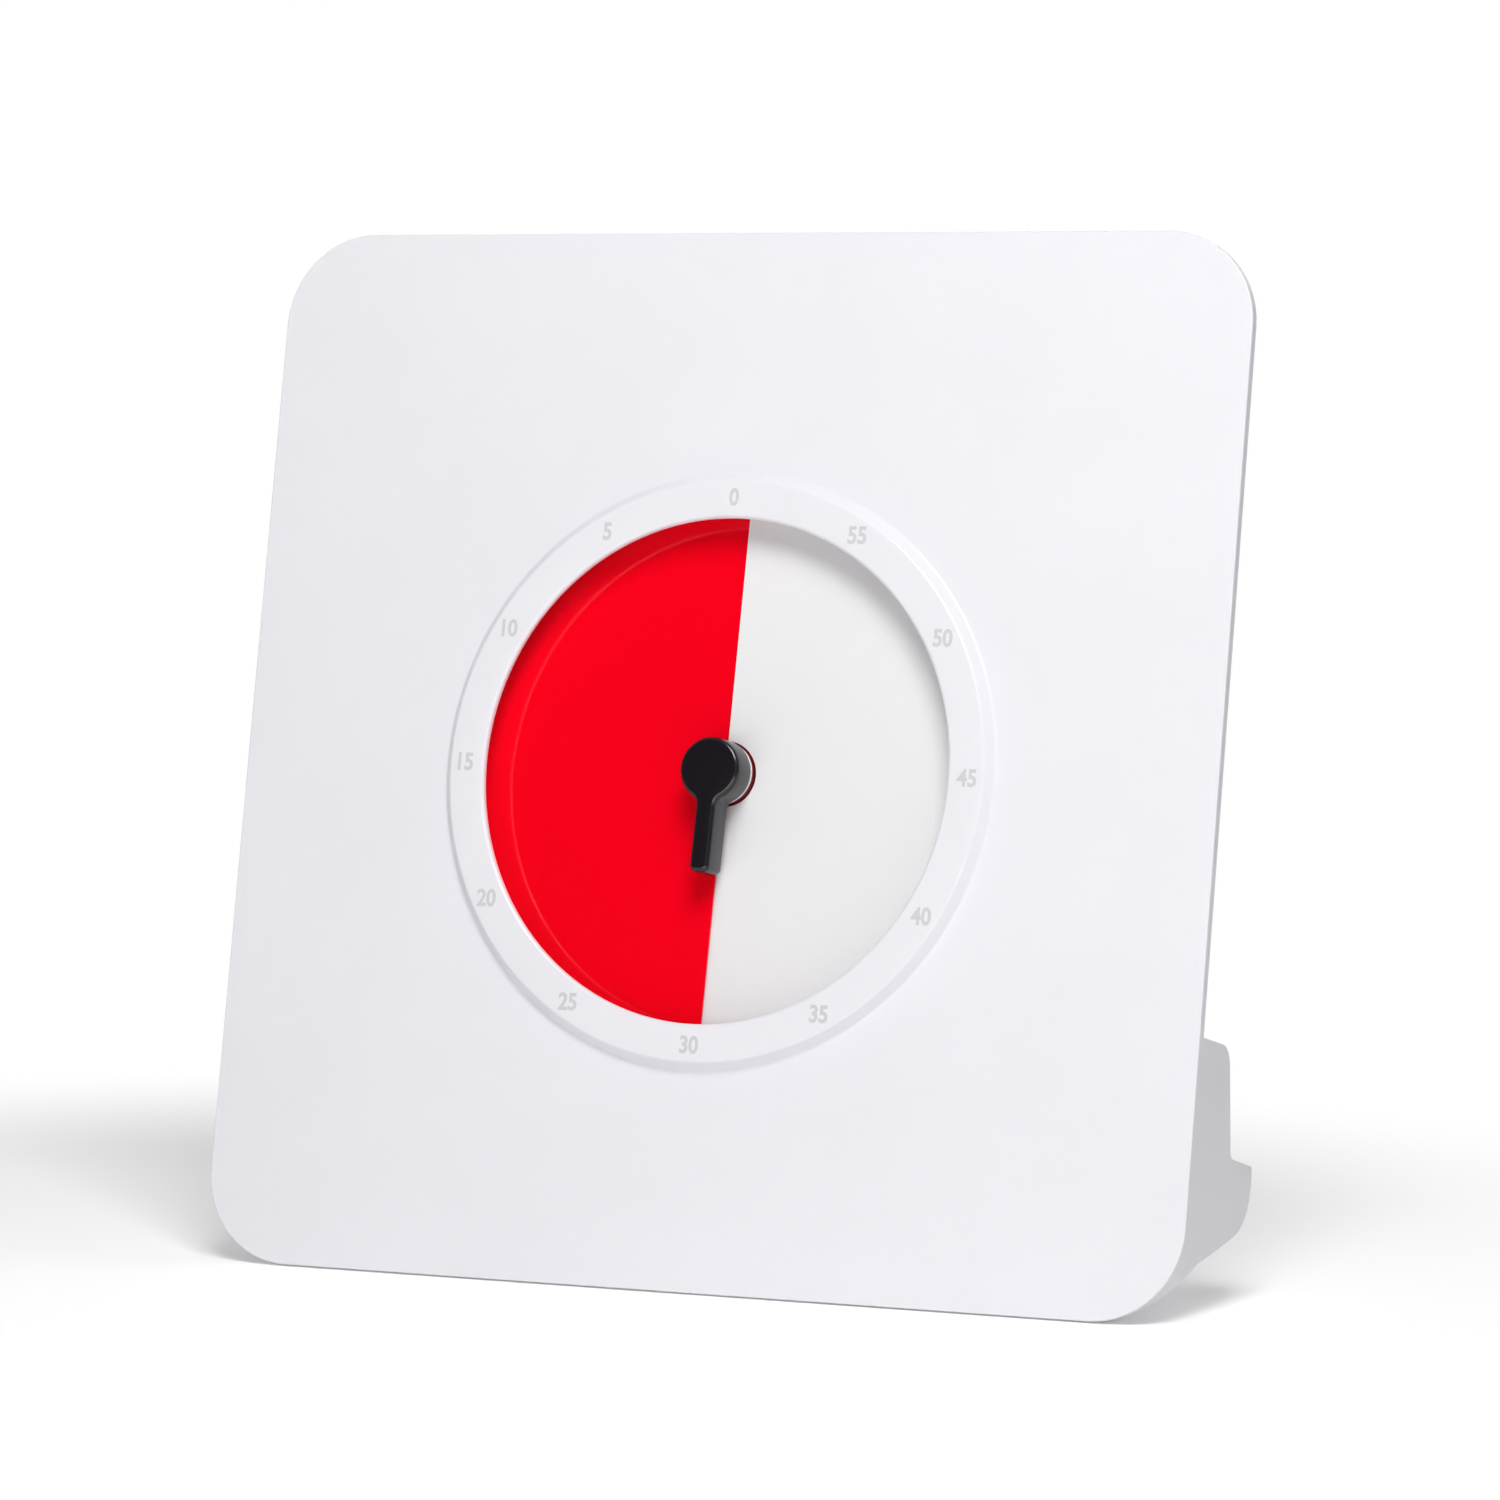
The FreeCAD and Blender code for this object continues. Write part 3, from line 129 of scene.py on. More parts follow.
# Printed numbers. They are drawn narrower than their font, and their strokes grow by a share of its
# size, the bold value.
NUMBER_RADIUS = 111.5
NUMBER_HEIGHT = 7.3
NUMBER_INK = 0.04
NUMBER_LIFT = 0.005
NUMBER_NARROW = 0.89
NUMBER_BOLD = 0.03
NUMBER_STEPS = 12
MINUTES_ROUND = 60
MINUTES_STEP = 5

# Steps round whole circles and round small arcs
AROUND = 256
AROUND_HUB = 128
AROUND_NECK = 96
HEAD_STEPS = 132
FILLET_STEPS = 16
TIP_STEPS = 12
BEVEL_STEPS = 6
ROUND_STEPS = 8
LIP_STEPS = 10
LIP_FOOT_STEPS = 6
WASHER_STEPS = 4


# Colours and nodes

def linear(hex_colour):
    """Turn an sRGB hex colour into linear values."""
    def channel(pair):
        value = int(pair, 16) / 255
        return value / 12.92 if value <= 0.04045 else ((value + 0.055) / 1.055) ** 2.4
    return tuple(channel(hex_colour[start:start + 2]) for start in (1, 3, 5)) + (1.0,)


def add_node(material, kind, settings=None, links=None):
    """Add a node, set its properties and sockets, and link other nodes' outputs into it."""
    node = material.node_tree.nodes.new(kind)
    for name, value in (settings or {}).items():
        if isinstance(name, str) and hasattr(node, name):
            setattr(node, name, value)
        else:
            node.inputs[name].default_value = value
    for name, output in (links or {}).items():
        material.node_tree.links.new(output, node.inputs[name])
    return node


def new_material(name):
    material = bpy.data.materials.new(name)
    material.use_nodes = True
    material.node_tree.nodes.clear()
    return material


# Materials. The detail values say how fine each noise is broken up, and the gloss values by how much
# the roughness rises and falls about its middle.

GRAIN_DEPTH_MM = 0.05
BLOTCH_DETAIL = 3.0
GRAIN_DETAIL = 1.0
PLATING_DETAIL = 2.0
PLASTIC_GLOSS = 0.04
METAL_GLOSS = 0.08


def moulded(name, dark, light, rough, grain_mm=0.35, bump=0.06, sheen=0.5, blotch_mm=60.0):
    """A moulded plastic: broad faint tone changes, fine mould grain and uneven gloss.

    A real mould grain is about 0.1 mm across, too fine to show, so it is drawn coarser.
    """
    material = new_material(name)
    place = add_node(material, "ShaderNodeTexCoord")
    blotch = add_node(material, "ShaderNodeTexNoise",
                      {"Scale": 1 / (blotch_mm * MM), "Detail": BLOTCH_DETAIL},
                      {"Vector": place.outputs["Object"]})
    grain = add_node(material, "ShaderNodeTexNoise",
                     {"Scale": 1 / (grain_mm * MM), "Detail": GRAIN_DETAIL},
                     {"Vector": place.outputs["Object"]})
    colour = add_node(material, "ShaderNodeMix",
                      {"data_type": "RGBA", 6: linear(dark), 7: linear(light)},
                      {0: blotch.outputs["Fac"]})
    gloss = add_node(material, "ShaderNodeMapRange",
                     {"To Min": rough - PLASTIC_GLOSS, "To Max": rough + PLASTIC_GLOSS},
                     {"Value": blotch.outputs["Fac"]})
    height = add_node(material, "ShaderNodeBump",
                      {"Strength": bump, "Distance": GRAIN_DEPTH_MM * MM},
                      {"Height": grain.outputs["Fac"]})
    shader = add_node(material, "ShaderNodeBsdfPrincipled", {"Specular IOR Level": sheen},
                      {"Base Color": colour.outputs[2], "Roughness": gloss.outputs[0],
                       "Normal": height.outputs[0]})
    add_node(material, "ShaderNodeOutputMaterial", links={"Surface": shader.outputs[0]})
    return material


def plated(name, colour, rough, grain_mm):
    """A bare or plated metal whose gloss varies in fine grains, drawn as coarse as they show."""
    material = new_material(name)
    place = add_node(material, "ShaderNodeTexCoord")
    grain = add_node(material, "ShaderNodeTexNoise",
                     {"Scale": 1 / (grain_mm * MM), "Detail": PLATING_DETAIL},
                     {"Vector": place.outputs["Object"]})
    gloss = add_node(material, "ShaderNodeMapRange",
                     {"To Min": rough - METAL_GLOSS, "To Max": rough + METAL_GLOSS},
                     {"Value": grain.outputs["Fac"]})
    shader = add_node(material, "ShaderNodeBsdfPrincipled",
                      {"Base Color": linear(colour), "Metallic": 1.0},
                      {"Roughness": gloss.outputs[0]})
    add_node(material, "ShaderNodeOutputMaterial", links={"Surface": shader.outputs[0]})
    return material


# Cool white ABS with a spark-eroded mould grain: a soft sheen with no sharp reflection
white_abs = moulded("white_abs_satin", "#ECEBF0", "#F0EFF4", 0.32)
# White printed polystyrene: the dial plate is matt, so no lamp shows in it
dial_styrene = moulded("dial_plate_styrene_matt", "#EAE9EA", "#EDECED", 0.6, bump=0.03,
                       sheen=0.3)
# Red pigmented polyester film: saturated and glossy enough to mirror the lip above it
red_film = moulded("red_polyester_film", "#FA001A", "#FF001D", 0.08, grain_mm=1.2, bump=0.01,
                   sheen=0.65)
# Red ABS of the disc's hub, duller than the film it carries, with painted shade: its colour is
# darkened to stand for the knob's shadow over the hub
hub_abs_painted_shade = moulded("red_abs_hub_painted_shade", "#6A1118", "#74141B", 0.4, sheen=0.4)
# White acetal washer, turned, with a low gloss
washer_acetal = moulded("white_acetal_washer", "#F6F6F6", "#FBFBFB", 0.3)
# Black ABS knob, satin: a thin bright highlight along its rounded edge and a grey sheen on its side
black_abs = moulded("black_abs_satin", "#171419", "#1B181D", 0.18, grain_mm=0.25, bump=0.08,
                    sheen=0.6)
# Pale grey pad-printing ink: flat and matt
number_ink = moulded("pale_grey_printing_ink", "#CECED0", "#D3D3D5", 0.7, bump=0.02, blotch_mm=8.0)
# Black glass-filled nylon of the clockwork case and the tray: dull, with no clear highlight
black_nylon = moulded("black_nylon_moulded", "#1B1B1D", "#232326", 0.5)
# Ivory acetal wheels: creamy, with a waxy low gloss
ivory_acetal = moulded("ivory_acetal_gear", "#D8D2BE", "#E2DCC8", 0.35)
# Dark grey ABS controls, grained so that a finger grips them
grey_abs = moulded("grey_abs_grained", "#4A4A4F", "#55555A", 0.5, grain_mm=0.5, bump=0.15)
# Black rubber feet, dull and slightly dusty
foot_rubber = moulded("black_rubber_dull", "#17171A", "#242427", 0.8, grain_mm=0.8, bump=0.2)
# Green solder mask over fibre laminate: glossy, with a faint weave under it
board_mask = moulded("green_solder_mask", "#0F4A2A", "#155A34", 0.3, grain_mm=0.8, bump=0.1)
# Printed shrink sleeve on the cells: smooth blue grey with a long highlight
cell_sleeve = moulded("grey_shrink_sleeve", "#50555C", "#5E636A", 0.25)
# Zinc plated steel of screws, shaft and springs: cool grey with a soft uneven gloss
zinc_steel = plated("zinc_plated_steel", "#C4C6CA", 0.32, 0.6)
# Turned brass of the bush: warm yellow metal
turned_brass = plated("turned_brass", "#C9A45A", 0.28, 0.5)
# Enamelled copper winding: orange brown, its gloss broken up from wire to wire
copper_wire = plated("enamelled_copper_wire", "#B8653A", 0.35, 0.15)

CAD_FINISH = (
    (white_abs, ("front_panel", "back_panel", "stand_shell", "dial_pan", "rear_housing",
                 "battery_door", "bezel_ring")),
    (dial_styrene, ("dial_plate",)),
    (red_film, ("red_disc",)),
    (washer_acetal, ("clamp_washer",)),
    (black_abs, ("knob",)),
    (black_nylon, ("movement_front", "movement_rear", "battery_tray", "board_parts")),
    (ivory_acetal, ("centre_wheel", "third_wheel", "rotor")),
    (grey_abs, ("volume_wheel", "sound_switch")),
    (foot_rubber, ("rubber_feet",)),
    (board_mask, ("circuit_board",)),
    (cell_sleeve, ("batteries",)),
    (zinc_steel, ("shaft", "pan_screws", "housing_screws", "stand_screws", "clutch_spring",
                  "stator", "battery_contacts", "speaker", "volume_pin")),
    (turned_brass, ("shaft_bush",)),
    (copper_wire, ("coil",)),
)

for finish, node_names in CAD_FINISH:
    for node_name in node_names:
        for holder in nodes[node_name].material_slots:
            holder.material = finish


# Modelling helpers

def deselect():
    if bpy.context.object and bpy.context.object.mode != "OBJECT":
        bpy.ops.object.mode_set(mode="OBJECT")
    bpy.ops.object.select_all(action="DESELECT")


def start_editing():
    """Go into edit mode with all of the active piece's vertices selected."""
    bpy.ops.object.mode_set(mode="EDIT")
    bpy.ops.mesh.select_mode(type="VERT")
    bpy.ops.mesh.select_all(action="SELECT")


def turn_normals_outward():
    """Finish an edit: turn all faces outward and go back to object mode."""
    bpy.ops.mesh.select_all(action="SELECT")
    bpy.ops.mesh.normals_make_consistent(inside=False)
    bpy.ops.object.mode_set(mode="OBJECT")


def pick_edges(piece, wanted):
    """Select the edges of a piece that a test wants, and leave it in edit mode."""
    bpy.ops.object.mode_set(mode="EDIT")
    bpy.ops.mesh.select_mode(type="EDGE")
    bpy.ops.mesh.select_all(action="DESELECT")
    bpy.ops.object.mode_set(mode="OBJECT")
    for edge in piece.data.edges:
        edge.select = wanted(edge)
    bpy.ops.object.mode_set(mode="EDIT")


def apply_modifiers(piece):
    deselect()
    piece.select_set(True)
    bpy.context.view_layer.objects.active = piece
    for modifier in list(piece.modifiers):
        bpy.ops.object.modifier_apply(modifier=modifier.name)


def join(*pieces):
    deselect()
    for piece in pieces:
        piece.select_set(True)
    bpy.context.view_layer.objects.active = pieces[0]
    bpy.ops.object.join()
    return pieces[0]


def hand_in(piece, name, material, body, replaced=(), smooth=35):
    """Put a finished mesh on the dial and say what carries it."""
    apply_modifiers(piece)
    piece.name = name
    piece.data.name = name
    piece.matrix_world = DIAL @ piece.matrix_world
    bpy.ops.object.transform_apply(location=True, rotation=True, scale=True)
    bpy.ops.object.shade_smooth_by_angle(angle=math.radians(smooth))
    piece.data.materials.clear()
    piece.data.materials.append(material)
    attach(piece, body)
    if replaced:
        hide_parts(*replaced)
    piece.select_set(False)


def lathe(section, steps=AROUND):
    """Draw a closed ring through (radius, height) points in mm by extruding one circle round them."""
    deselect()
    radius, height = section[0]
    bpy.ops.mesh.primitive_circle_add(vertices=steps, radius=radius * MM,
                                      location=(0, 0, height * MM))
    piece = bpy.context.object
    bpy.ops.object.transform_apply(location=True)
    start_editing()
    for (old_radius, old_height), (radius, height) in zip(section, section[1:]):
        bpy.ops.mesh.extrude_region_move(
            TRANSFORM_OT_translate={"value": (0, 0, (height - old_height) * MM)})
        bpy.ops.transform.resize(value=(radius / old_radius, radius / old_radius, 1),
                                 center_override=(0, 0, 0))
    ends = (section[0], section[-1])

    def on_end(edge):
        spots = [piece.data.vertices[index].co for index in edge.vertices]
        return any(all(abs(spot.z - height * MM) < NEAR
                       and abs(spot.xy.length - radius * MM) < NEAR for spot in spots)
                   for radius, height in ends)

    pick_edges(piece, on_end)
    bpy.ops.mesh.bridge_edge_loops()
    turn_normals_outward()
    return piece


def arc(centre_radius, centre_height, size, start, end, steps):
    """Section points along a round, from one angle to another in degrees."""
    return [(centre_radius + size * math.cos(math.radians(turn)),
             centre_height + size * math.sin(math.radians(turn)))
            for turn in (start + (end - start) * step / steps for step in range(steps + 1))]


def leaf(inner, outer, start):
    """One turn of thin film that climbs by the pitch, swept from a thin radial strip."""
    deselect()
    level = FILM_WALL / 2 - DIAL_DEPTH
    bpy.ops.mesh.primitive_plane_add(size=1, location=((inner + outer) / 2 * MM, 0, level * MM),
                                     rotation=(math.pi / 2, 0, 0))
    film = bpy.context.object
    film.scale = ((outer - inner) * MM, FILM_WALL * MM, 1)
    bpy.ops.object.transform_apply(location=True, rotation=True, scale=True)
    film.rotation_euler = (0, 0, math.radians(start))
    bpy.ops.object.transform_apply(rotation=True)
    screw = film.modifiers.new("turn", "SCREW")
    screw.angle = math.radians(360 - SLIT_GAP)
    screw.screw_offset = DISC_PITCH * MM * (1 - SLIT_GAP / 360)
    screw.steps = screw.render_steps = AROUND
    screw.use_normal_calculate = True
    apply_modifiers(film)
    pick_edges(film, lambda edge: False)
    bpy.ops.mesh.select_non_manifold()
    bpy.ops.mesh.edge_face_add()
    turn_normals_outward()
    return film


def outline(start, moves):
    """A closed flat outline in mm, drawn from one vertex by straight runs and turns about centres."""
    deselect()
    bpy.ops.mesh.primitive_plane_add(size=MM)
    piece = bpy.context.object
    start_editing()
    bpy.ops.mesh.merge(type="CENTER")
    bpy.ops.transform.translate(value=(start[0] * MM, start[1] * MM, 0))
    for kind, *values in moves:
        if kind == "run":
            bpy.ops.mesh.extrude_vertices_move(
                TRANSFORM_OT_translate={"value": (values[0] * MM, values[1] * MM, 0)})
        else:
            x, y, turn, steps = values
            bpy.ops.mesh.spin(steps=steps, angle=-math.radians(turn),
                              center=(x * MM, y * MM, 0), axis=(0, 0, 1))
    bpy.ops.mesh.select_all(action="SELECT")
    bpy.ops.mesh.remove_doubles(threshold=2 * NEAR)
    bpy.ops.mesh.edge_face_add()
    return piece


# Pieces of the dial

def bezel():
    """Ring round the window: flat face, sloping flank and a lip that rolls over into the window."""
    flank = math.degrees(math.atan2(RING_RISE, RING_FLANK))
    run = math.tan(math.radians(flank / 2))
    section = arc(RING_RADIUS + FOOT_ROUND * run, FOOT_ROUND + FACE_LIFT, FOOT_ROUND,
                  270, 270 - flank, ROUND_STEPS)
    section += arc(RING_RADIUS - RING_FLANK - SHOULDER_ROUND * run, RING_RISE - SHOULDER_ROUND,
                   SHOULDER_ROUND, 90 - flank, 90, ROUND_STEPS)
    section += arc(WINDOW_RADIUS + LIP_ROUND, RING_RISE - LIP_ROUND, LIP_ROUND,
                   90, 180, LIP_STEPS)
    section += arc(WINDOW_RADIUS + LIP_FOOT_ROUND, LIP_BOTTOM + LIP_FOOT_ROUND, LIP_FOOT_ROUND,
                   180, 270, LIP_FOOT_STEPS)
    section += [(SPIGOT_RADIUS - SPIGOT_WALL, LIP_BOTTOM),
                (SPIGOT_RADIUS - SPIGOT_WALL, -SPIGOT_DEPTH),
                (SPIGOT_RADIUS, -SPIGOT_DEPTH), (SPIGOT_RADIUS, FACE_LIFT)]
    hand_in(lathe(section), "bezel_ring_moulding", white_abs, "timer",
            ("bezel_ring",))


def dial_plate():
    """White leaf, cut at the top, with the rim that stands on the pan's floor."""
    plate = leaf(HUB_RADIUS + PLATE_GAP, CUP_OUTER - PLATE_RIM_GAP, 90 - SLIT_TURN + SLIT_GAP / 2)
    rim_top = -SPIGOT_DEPTH - FIT_GAP
    cup = lathe([(CUP_RADIUS, -FLOOR_DEPTH), (CUP_OUTER, -FLOOR_DEPTH),
                 (CUP_OUTER, rim_top), (CUP_RADIUS, rim_top)])
    hand_in(join(plate, cup), "dial_plate_leaf", dial_styrene, "timer",
            ("dial_plate",))


def red_disc():
    """Red leaf, cut at the bottom, so that it shows on the left and runs under the white."""
    film = leaf(HUB_RADIUS - FILM_ROOT, DISC_RADIUS, 270 - SLIT_TURN + SLIT_GAP / 2)
    hand_in(film, "red_disc_film", red_film, "disc", ("red_disc",))


def disc_hub():
    """The hub that carries the film, with a collar that reaches up into the knob."""
    top = -WASHER_FRONT + COLLAR_RISE
    hub = lathe([(HUB_RADIUS, -HUB_BACK), (HUB_RADIUS, -WASHER_BACK),
                 (COLLAR_RADIUS, -WASHER_BACK), (COLLAR_RADIUS, top), (NECK_BORE, top),
                 (NECK_BORE, -HUB_FLOOR), (SHAFT_BORE, -HUB_FLOOR),
                 (SHAFT_BORE, -HUB_BACK)], AROUND_HUB)
    # The hub's colour carries painted shade, darkened for the knob's shadow over it
    hand_in(hub, "disc_hub_moulding", hub_abs_painted_shade, "disc", ("red_disc",))


def washer():
    """White washer round the collar, on the hub."""
    side = WASHER_RADIUS - WASHER_ROUND
    section = arc(side, WASHER_ROUND - WASHER_BACK, WASHER_ROUND, -90, 0, WASHER_STEPS)
    section += arc(side, -WASHER_FRONT - WASHER_ROUND, WASHER_ROUND, 0, 90, WASHER_STEPS)
    section += [(COLLAR_RADIUS, -WASHER_FRONT), (COLLAR_RADIUS, -WASHER_BACK)]
    hand_in(lathe(section, AROUND_HUB), "clamp_washer_turned", washer_acetal, "disc",
            ("clamp_washer",))


def knob():
    """A round head and a straight lever, joined by fillets and rounded all round the front."""
    half = LEVER_WIDTH / 2
    web = KNOB_FRONT - HEAD_DEPTH
    back = web - SKIRT_DEPTH
    side = half + KNOB_FILLET
    drop = math.sqrt((HEAD_RADIUS + KNOB_FILLET) ** 2 - side ** 2)
    swing = math.degrees(math.atan2(drop, side))
    share = HEAD_RADIUS / (HEAD_RADIUS + KNOB_FILLET)
    corner = half - TIP_ROUND
    tip = LEVER_REACH - TIP_ROUND
    grip = outline((side * share, -drop * share), [
        ("turn", 0, 0, 180 + 2 * swing, HEAD_STEPS),
        ("turn", -side, -drop, -swing, FILLET_STEPS),
        ("run", 0, drop - tip),
        ("turn", -corner, -tip, 90, TIP_STEPS),
        ("run", 2 * corner, 0),
        ("turn", corner, -tip, 90, TIP_STEPS),
        ("run", 0, tip - drop),
        ("turn", side, -drop, -swing, FILLET_STEPS),
    ])
    bpy.ops.transform.translate(value=(0, 0, back * MM))
    bpy.ops.mesh.extrude_region_move(
        TRANSFORM_OT_translate={"value": (0, 0, (KNOB_FRONT - back) * MM)})
    turn_normals_outward()

    def on_level(height):
        return lambda edge: all(abs(grip.data.vertices[index].co.z - height * MM) < NEAR
                                for index in edge.vertices)

    for height, size in ((KNOB_FRONT, KNOB_ROUND), (back, KNOB_BACK_ROUND)):
        pick_edges(grip, on_level(height))
        bpy.ops.mesh.bevel(offset=size * MM, segments=BEVEL_STEPS, profile=0.5)
        bpy.ops.object.mode_set(mode="OBJECT")
    deselect()
    bpy.ops.mesh.primitive_cylinder_add(vertices=AROUND_HUB, radius=(HEAD_RADIUS - SKIRT_WALL) * MM,
                                        depth=2 * SKIRT_DEPTH * MM, location=(0, 0, back * MM))
    hollow = bpy.context.object
    pocket = grip.modifiers.new("pocket", "BOOLEAN")
    pocket.operation = "DIFFERENCE"
    pocket.object = hollow
    apply_modifiers(grip)
    bpy.data.objects.remove(hollow)
    top = web + NECK_BITE
    end = web - NECK_REACH
    neck = lathe([(NECK_RADIUS, end), (NECK_RADIUS, top), (SHAFT_RADIUS, top),
                  (SHAFT_RADIUS, end)], AROUND_NECK)
    moulding = join(grip, neck)
    moulding.rotation_euler = (0, 0, math.radians(LEVER_TURN))
    bpy.ops.object.transform_apply(rotation=True)
    hand_in(moulding, "knob_moulding", black_abs, "spindle", ("knob",), smooth=40)


def numbers():
    """Minutes in fives, printed round the ring against the clock."""
    pieces = []
    for minute in range(0, MINUTES_ROUND, MINUTES_STEP):
        deselect()
        bpy.ops.object.text_add()
        text = bpy.context.object
        text.data.body = str(minute)
        text.data.align_x = "CENTER"
        text.data.align_y = "CENTER"
        text.data.resolution_u = NUMBER_STEPS
        text.data.offset = NUMBER_BOLD
        bpy.ops.object.convert(target="MESH")
        digits = bpy.context.object
        spots = [vertex.co for vertex in digits.data.vertices]
        low, high = min(spot.y for spot in spots), max(spot.y for spot in spots)
        left, right = min(spot.x for spot in spots), max(spot.x for spot in spots)
        tall = NUMBER_HEIGHT * MM / (high - low)
        wide = tall * NUMBER_NARROW
        turn = math.radians(90 + minute * 360 / MINUTES_ROUND)
        centre = Vector((math.cos(turn), math.sin(turn), 0)) * NUMBER_RADIUS * MM
        digits.scale = (wide, tall, 1)
        digits.location = (centre.x - (left + right) / 2 * wide,
                           centre.y - (low + high) / 2 * tall,
                           (RING_RISE + NUMBER_LIFT) * MM)
        bpy.ops.object.transform_apply(location=True, rotation=True, scale=True)
        ink = digits.modifiers.new("ink", "SOLIDIFY")
        ink.thickness = NUMBER_INK * MM
        ink.offset = 1
        apply_modifiers(digits)
        pieces.append(digits)
    hand_in(join(*pieces), "dial_numbers", number_ink, "timer")


bezel()
dial_plate()
red_disc()
disc_hub()
washer()
knob()
numbers()


# Floor, light and camera. Lengths here are in metres, unless a name says otherwise.

WHITE = "#FFFFFF"
FLOOR_SIDE = 40
# The floor keeps its shadows within the first distance and is pure white beyond the second
FLOOR_NEAR = 0.36
FLOOR_FAR = 0.68
# How far its middle lies to the right of the timer's, and how much it is brightened for the camera
FLOOR_SHIFT = -0.15
FLOOR_LIFT = 0.22
# How bright the room is
ROOM_GLOW = 0.29
# The black flag in the room: the way to it, its glow, and the cosines where it starts and is full
FLAG_WAY = (-0.42, -0.86, 0.28)
FLAG_GLOW = 0.02
FLAG_START = 0.72
FLAG_FULL = 0.92
# The grey screen on the right: the light it lets through, and where it starts and is full
SCREEN_SHARE = 0.45
SCREEN_START = 0.2
SCREEN_FULL = 0.9
# Name, place, width, height and watts
LAMPS = (
    ("key_softbox", (0.72, -1.25, 1.82), 0.95, 1.0, 32.5),
    ("front_softbox", (0.1, -2.4, 0.22), 1.9, 0.4, 9.8),
    ("back_softbox", (0.2, 2.3, 1.3), 1.2, 1.2, 4),
)
# Where the camera stands, and by how much its aim passes the panel's centre
CAMERA_AZIMUTH = 24.73
CAMERA_ELEVATION = 3.95
CAMERA_DISTANCE = 2.5757
CAMERA_REACH = 100
LENS_MM = 152.96
SENSOR_MM = 36.0
AIM_RIGHT_MM = 13.2
AIM_UP_MM = 3.06


def studio_floor():
    """A white sheet that keeps the shadow under the timer and fades to pure white round it."""
    bpy.ops.mesh.primitive_plane_add(size=FLOOR_SIDE, location=(FLOOR_SHIFT, 0, 0))
    floor = bpy.context.object
    floor.name = "studio_floor"
    material = new_material("white_paper_sheet")
    place = add_node(material, "ShaderNodeTexCoord")
    reach = add_node(material, "ShaderNodeVectorMath", {"operation": "LENGTH"},
                     {0: place.outputs["Object"]})
    away = add_node(material, "ShaderNodeMapRange",
                    {"From Min": FLOOR_NEAR, "From Max": FLOOR_FAR,
                     "interpolation_type": "SMOOTHSTEP"},
                    {"Value": reach.outputs["Value"]})
    path = add_node(material, "ShaderNodeLightPath")
    seen = add_node(material, "ShaderNodeMath", {"operation": "MULTIPLY"},
                    {0: path.outputs["Is Camera Ray"], 1: away.outputs[0]})
    paper = add_node(material, "ShaderNodeBsdfDiffuse", {"Color": linear(WHITE)})
    lift = add_node(material, "ShaderNodeMath", {"operation": "MULTIPLY", 1: FLOOR_LIFT},
                    {0: path.outputs["Is Camera Ray"]})
    glow = add_node(material, "ShaderNodeEmission", {"Color": linear(WHITE)},
                    {"Strength": lift.outputs[0]})
    near = add_node(material, "ShaderNodeAddShader",
                    links={0: paper.outputs[0], 1: glow.outputs[0]})
    far = add_node(material, "ShaderNodeEmission", {"Strength": 1.0})
    shader = add_node(material, "ShaderNodeMixShader", links={
        0: seen.outputs[0], 1: near.outputs[0], 2: far.outputs[0]})
    add_node(material, "ShaderNodeOutputMaterial", links={"Surface": shader.outputs[0]})
    floor.data.materials.append(material)


def softbox(name, location, width, height, watts):
    """A rectangular lamp that faces the middle of the panel."""
    deselect()
    bpy.ops.object.light_add(type="AREA", location=location)
    lamp = bpy.context.object
    lamp.name = name
    lamp.data.shape = "RECTANGLE"
    lamp.data.size = width
    lamp.data.size_y = height
    lamp.data.energy = watts
    aim = PANEL_CENTRE - Vector(location)
    lamp.rotation_euler = aim.to_track_quat("-Z", "Y").to_euler()


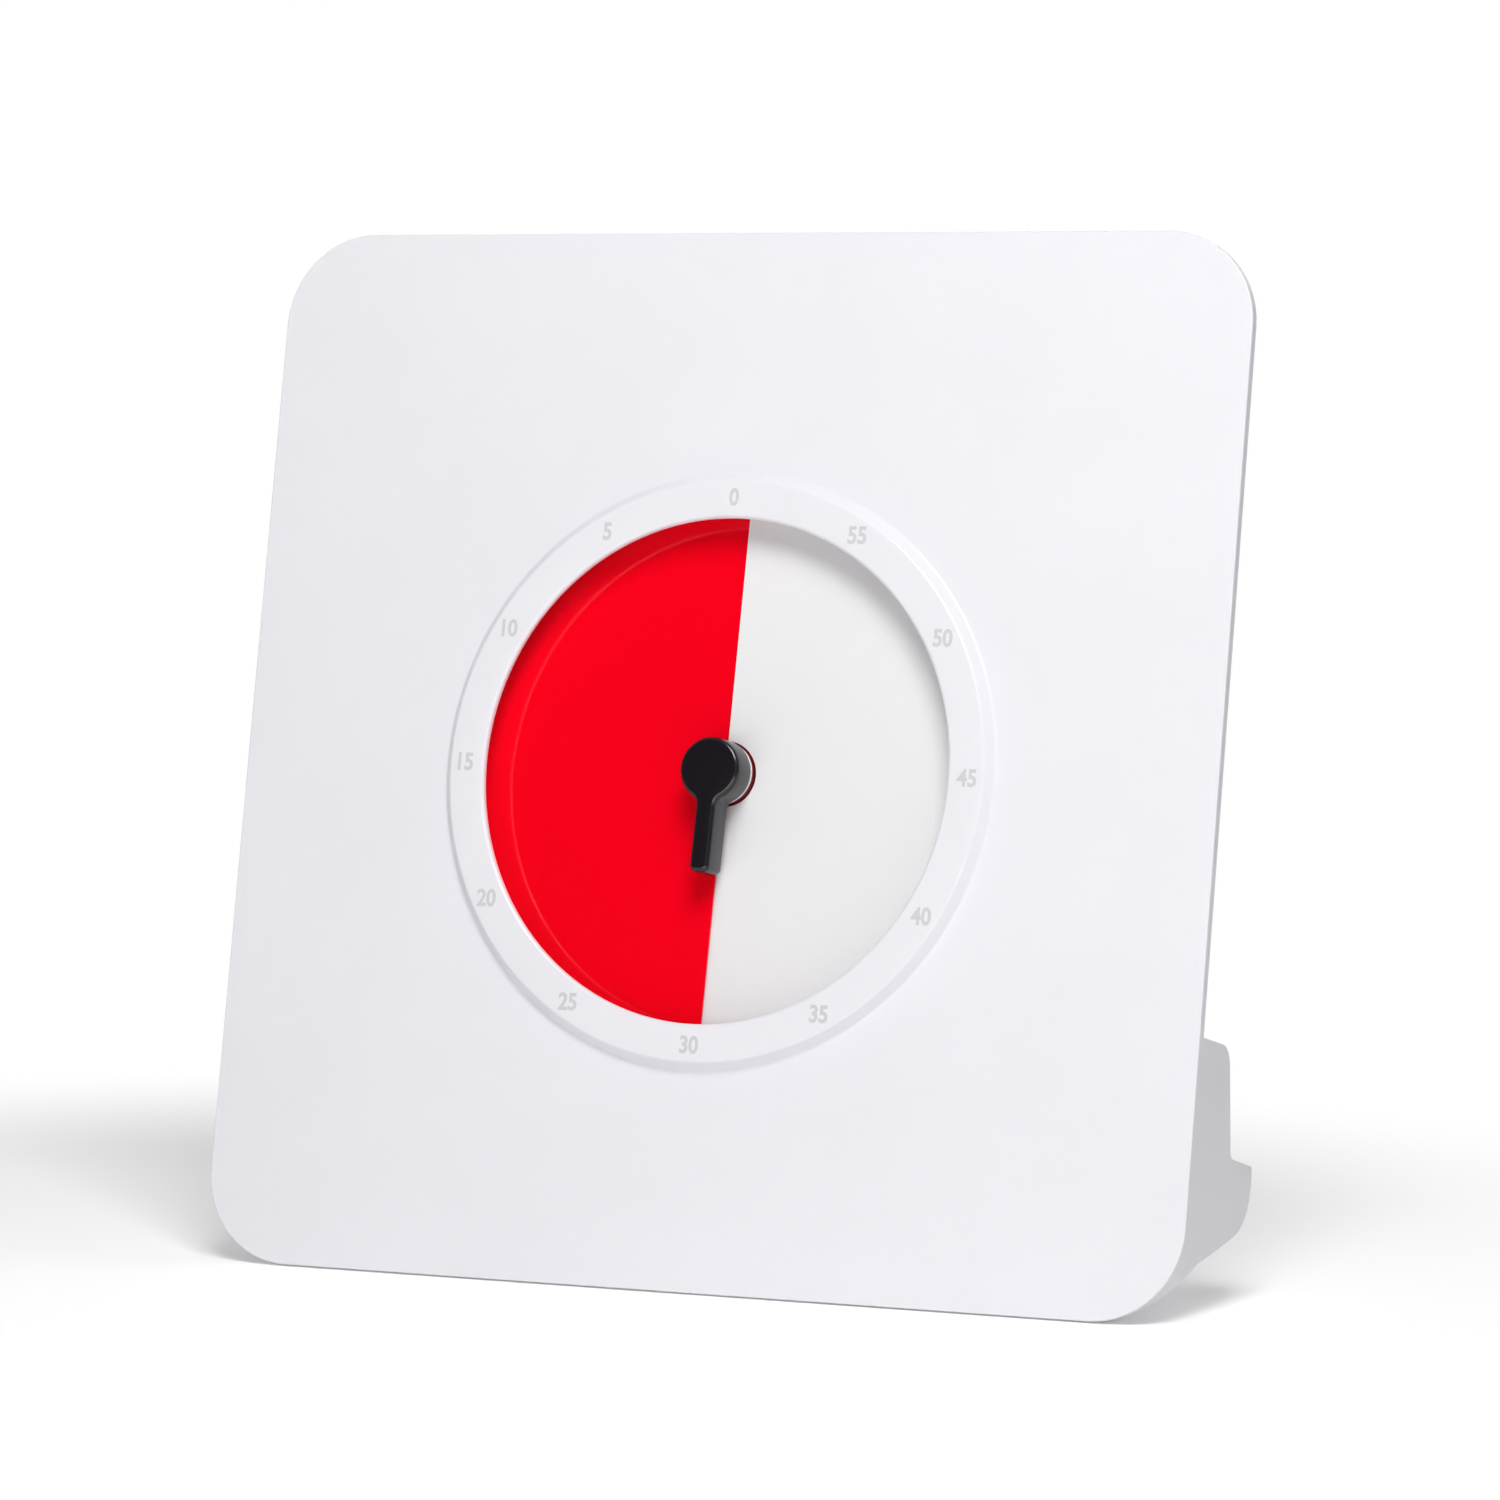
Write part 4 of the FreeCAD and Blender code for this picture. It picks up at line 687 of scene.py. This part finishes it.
def surround():
    """A white room, with a black flag where the glossy disc would mirror it, a grey screen on the
    right that keeps the stand's side in shade, and pure white behind for the camera."""
    world = bpy.data.worlds.new("white_room")
    bpy.context.scene.world = world
    world.use_nodes = True
    world.node_tree.nodes.clear()
    way = add_node(world, "ShaderNodeTexCoord")
    towards = add_node(world, "ShaderNodeVectorMath",
                       {"operation": "DOT_PRODUCT", 1: FLAG_WAY}, {0: way.outputs["Generated"]})
    room = add_node(world, "ShaderNodeMapRange",
                    {"From Min": FLAG_START, "From Max": FLAG_FULL,
                     "To Min": ROOM_GLOW, "To Max": FLAG_GLOW},
                    {"Value": towards.outputs["Value"]})
    parts = add_node(world, "ShaderNodeSeparateXYZ", links={"Vector": way.outputs["Generated"]})
    screen = add_node(world, "ShaderNodeMapRange",
                      {"From Min": SCREEN_START, "From Max": SCREEN_FULL,
                       "To Min": 1.0, "To Max": SCREEN_SHARE},
                      {"Value": parts.outputs["X"]})
    screened = add_node(world, "ShaderNodeMath", {"operation": "MULTIPLY"},
                        {0: room.outputs[0], 1: screen.outputs[0]})
    path = add_node(world, "ShaderNodeLightPath")
    seen = add_node(world, "ShaderNodeMix", {"data_type": "FLOAT", 3: 1.0},
                    {0: path.outputs["Is Camera Ray"], 2: screened.outputs[0]})
    glow = add_node(world, "ShaderNodeBackground", {"Color": linear(WHITE)},
                    {"Strength": seen.outputs[0]})
    add_node(world, "ShaderNodeOutputWorld", links={"Surface": glow.outputs[0]})


def camera():
    """The photographer's view: a long lens, to the right of the timer and a little above it."""
    azimuth, elevation = math.radians(CAMERA_AZIMUTH), math.radians(CAMERA_ELEVATION)
    forward = Vector((-math.sin(azimuth) * math.cos(elevation),
                      math.cos(azimuth) * math.cos(elevation), -math.sin(elevation)))
    right = Vector((math.cos(azimuth), math.sin(azimuth), 0))
    up = right.cross(forward)
    aim = PANEL_CENTRE + right * AIM_RIGHT_MM * MM + up * AIM_UP_MM * MM
    bpy.ops.object.camera_add(location=aim - forward * CAMERA_DISTANCE)
    view = bpy.context.object
    view.rotation_euler = forward.to_track_quat("-Z", "Y").to_euler()
    view.data.lens = LENS_MM
    view.data.sensor_width = SENSOR_MM
    view.data.clip_end = CAMERA_REACH
    bpy.context.scene.camera = view


studio_floor()
surround()
for lamp_facts in LAMPS:
    softbox(*lamp_facts)
camera()
deselect()

bpy.context.scene.view_settings.view_transform = "Standard"
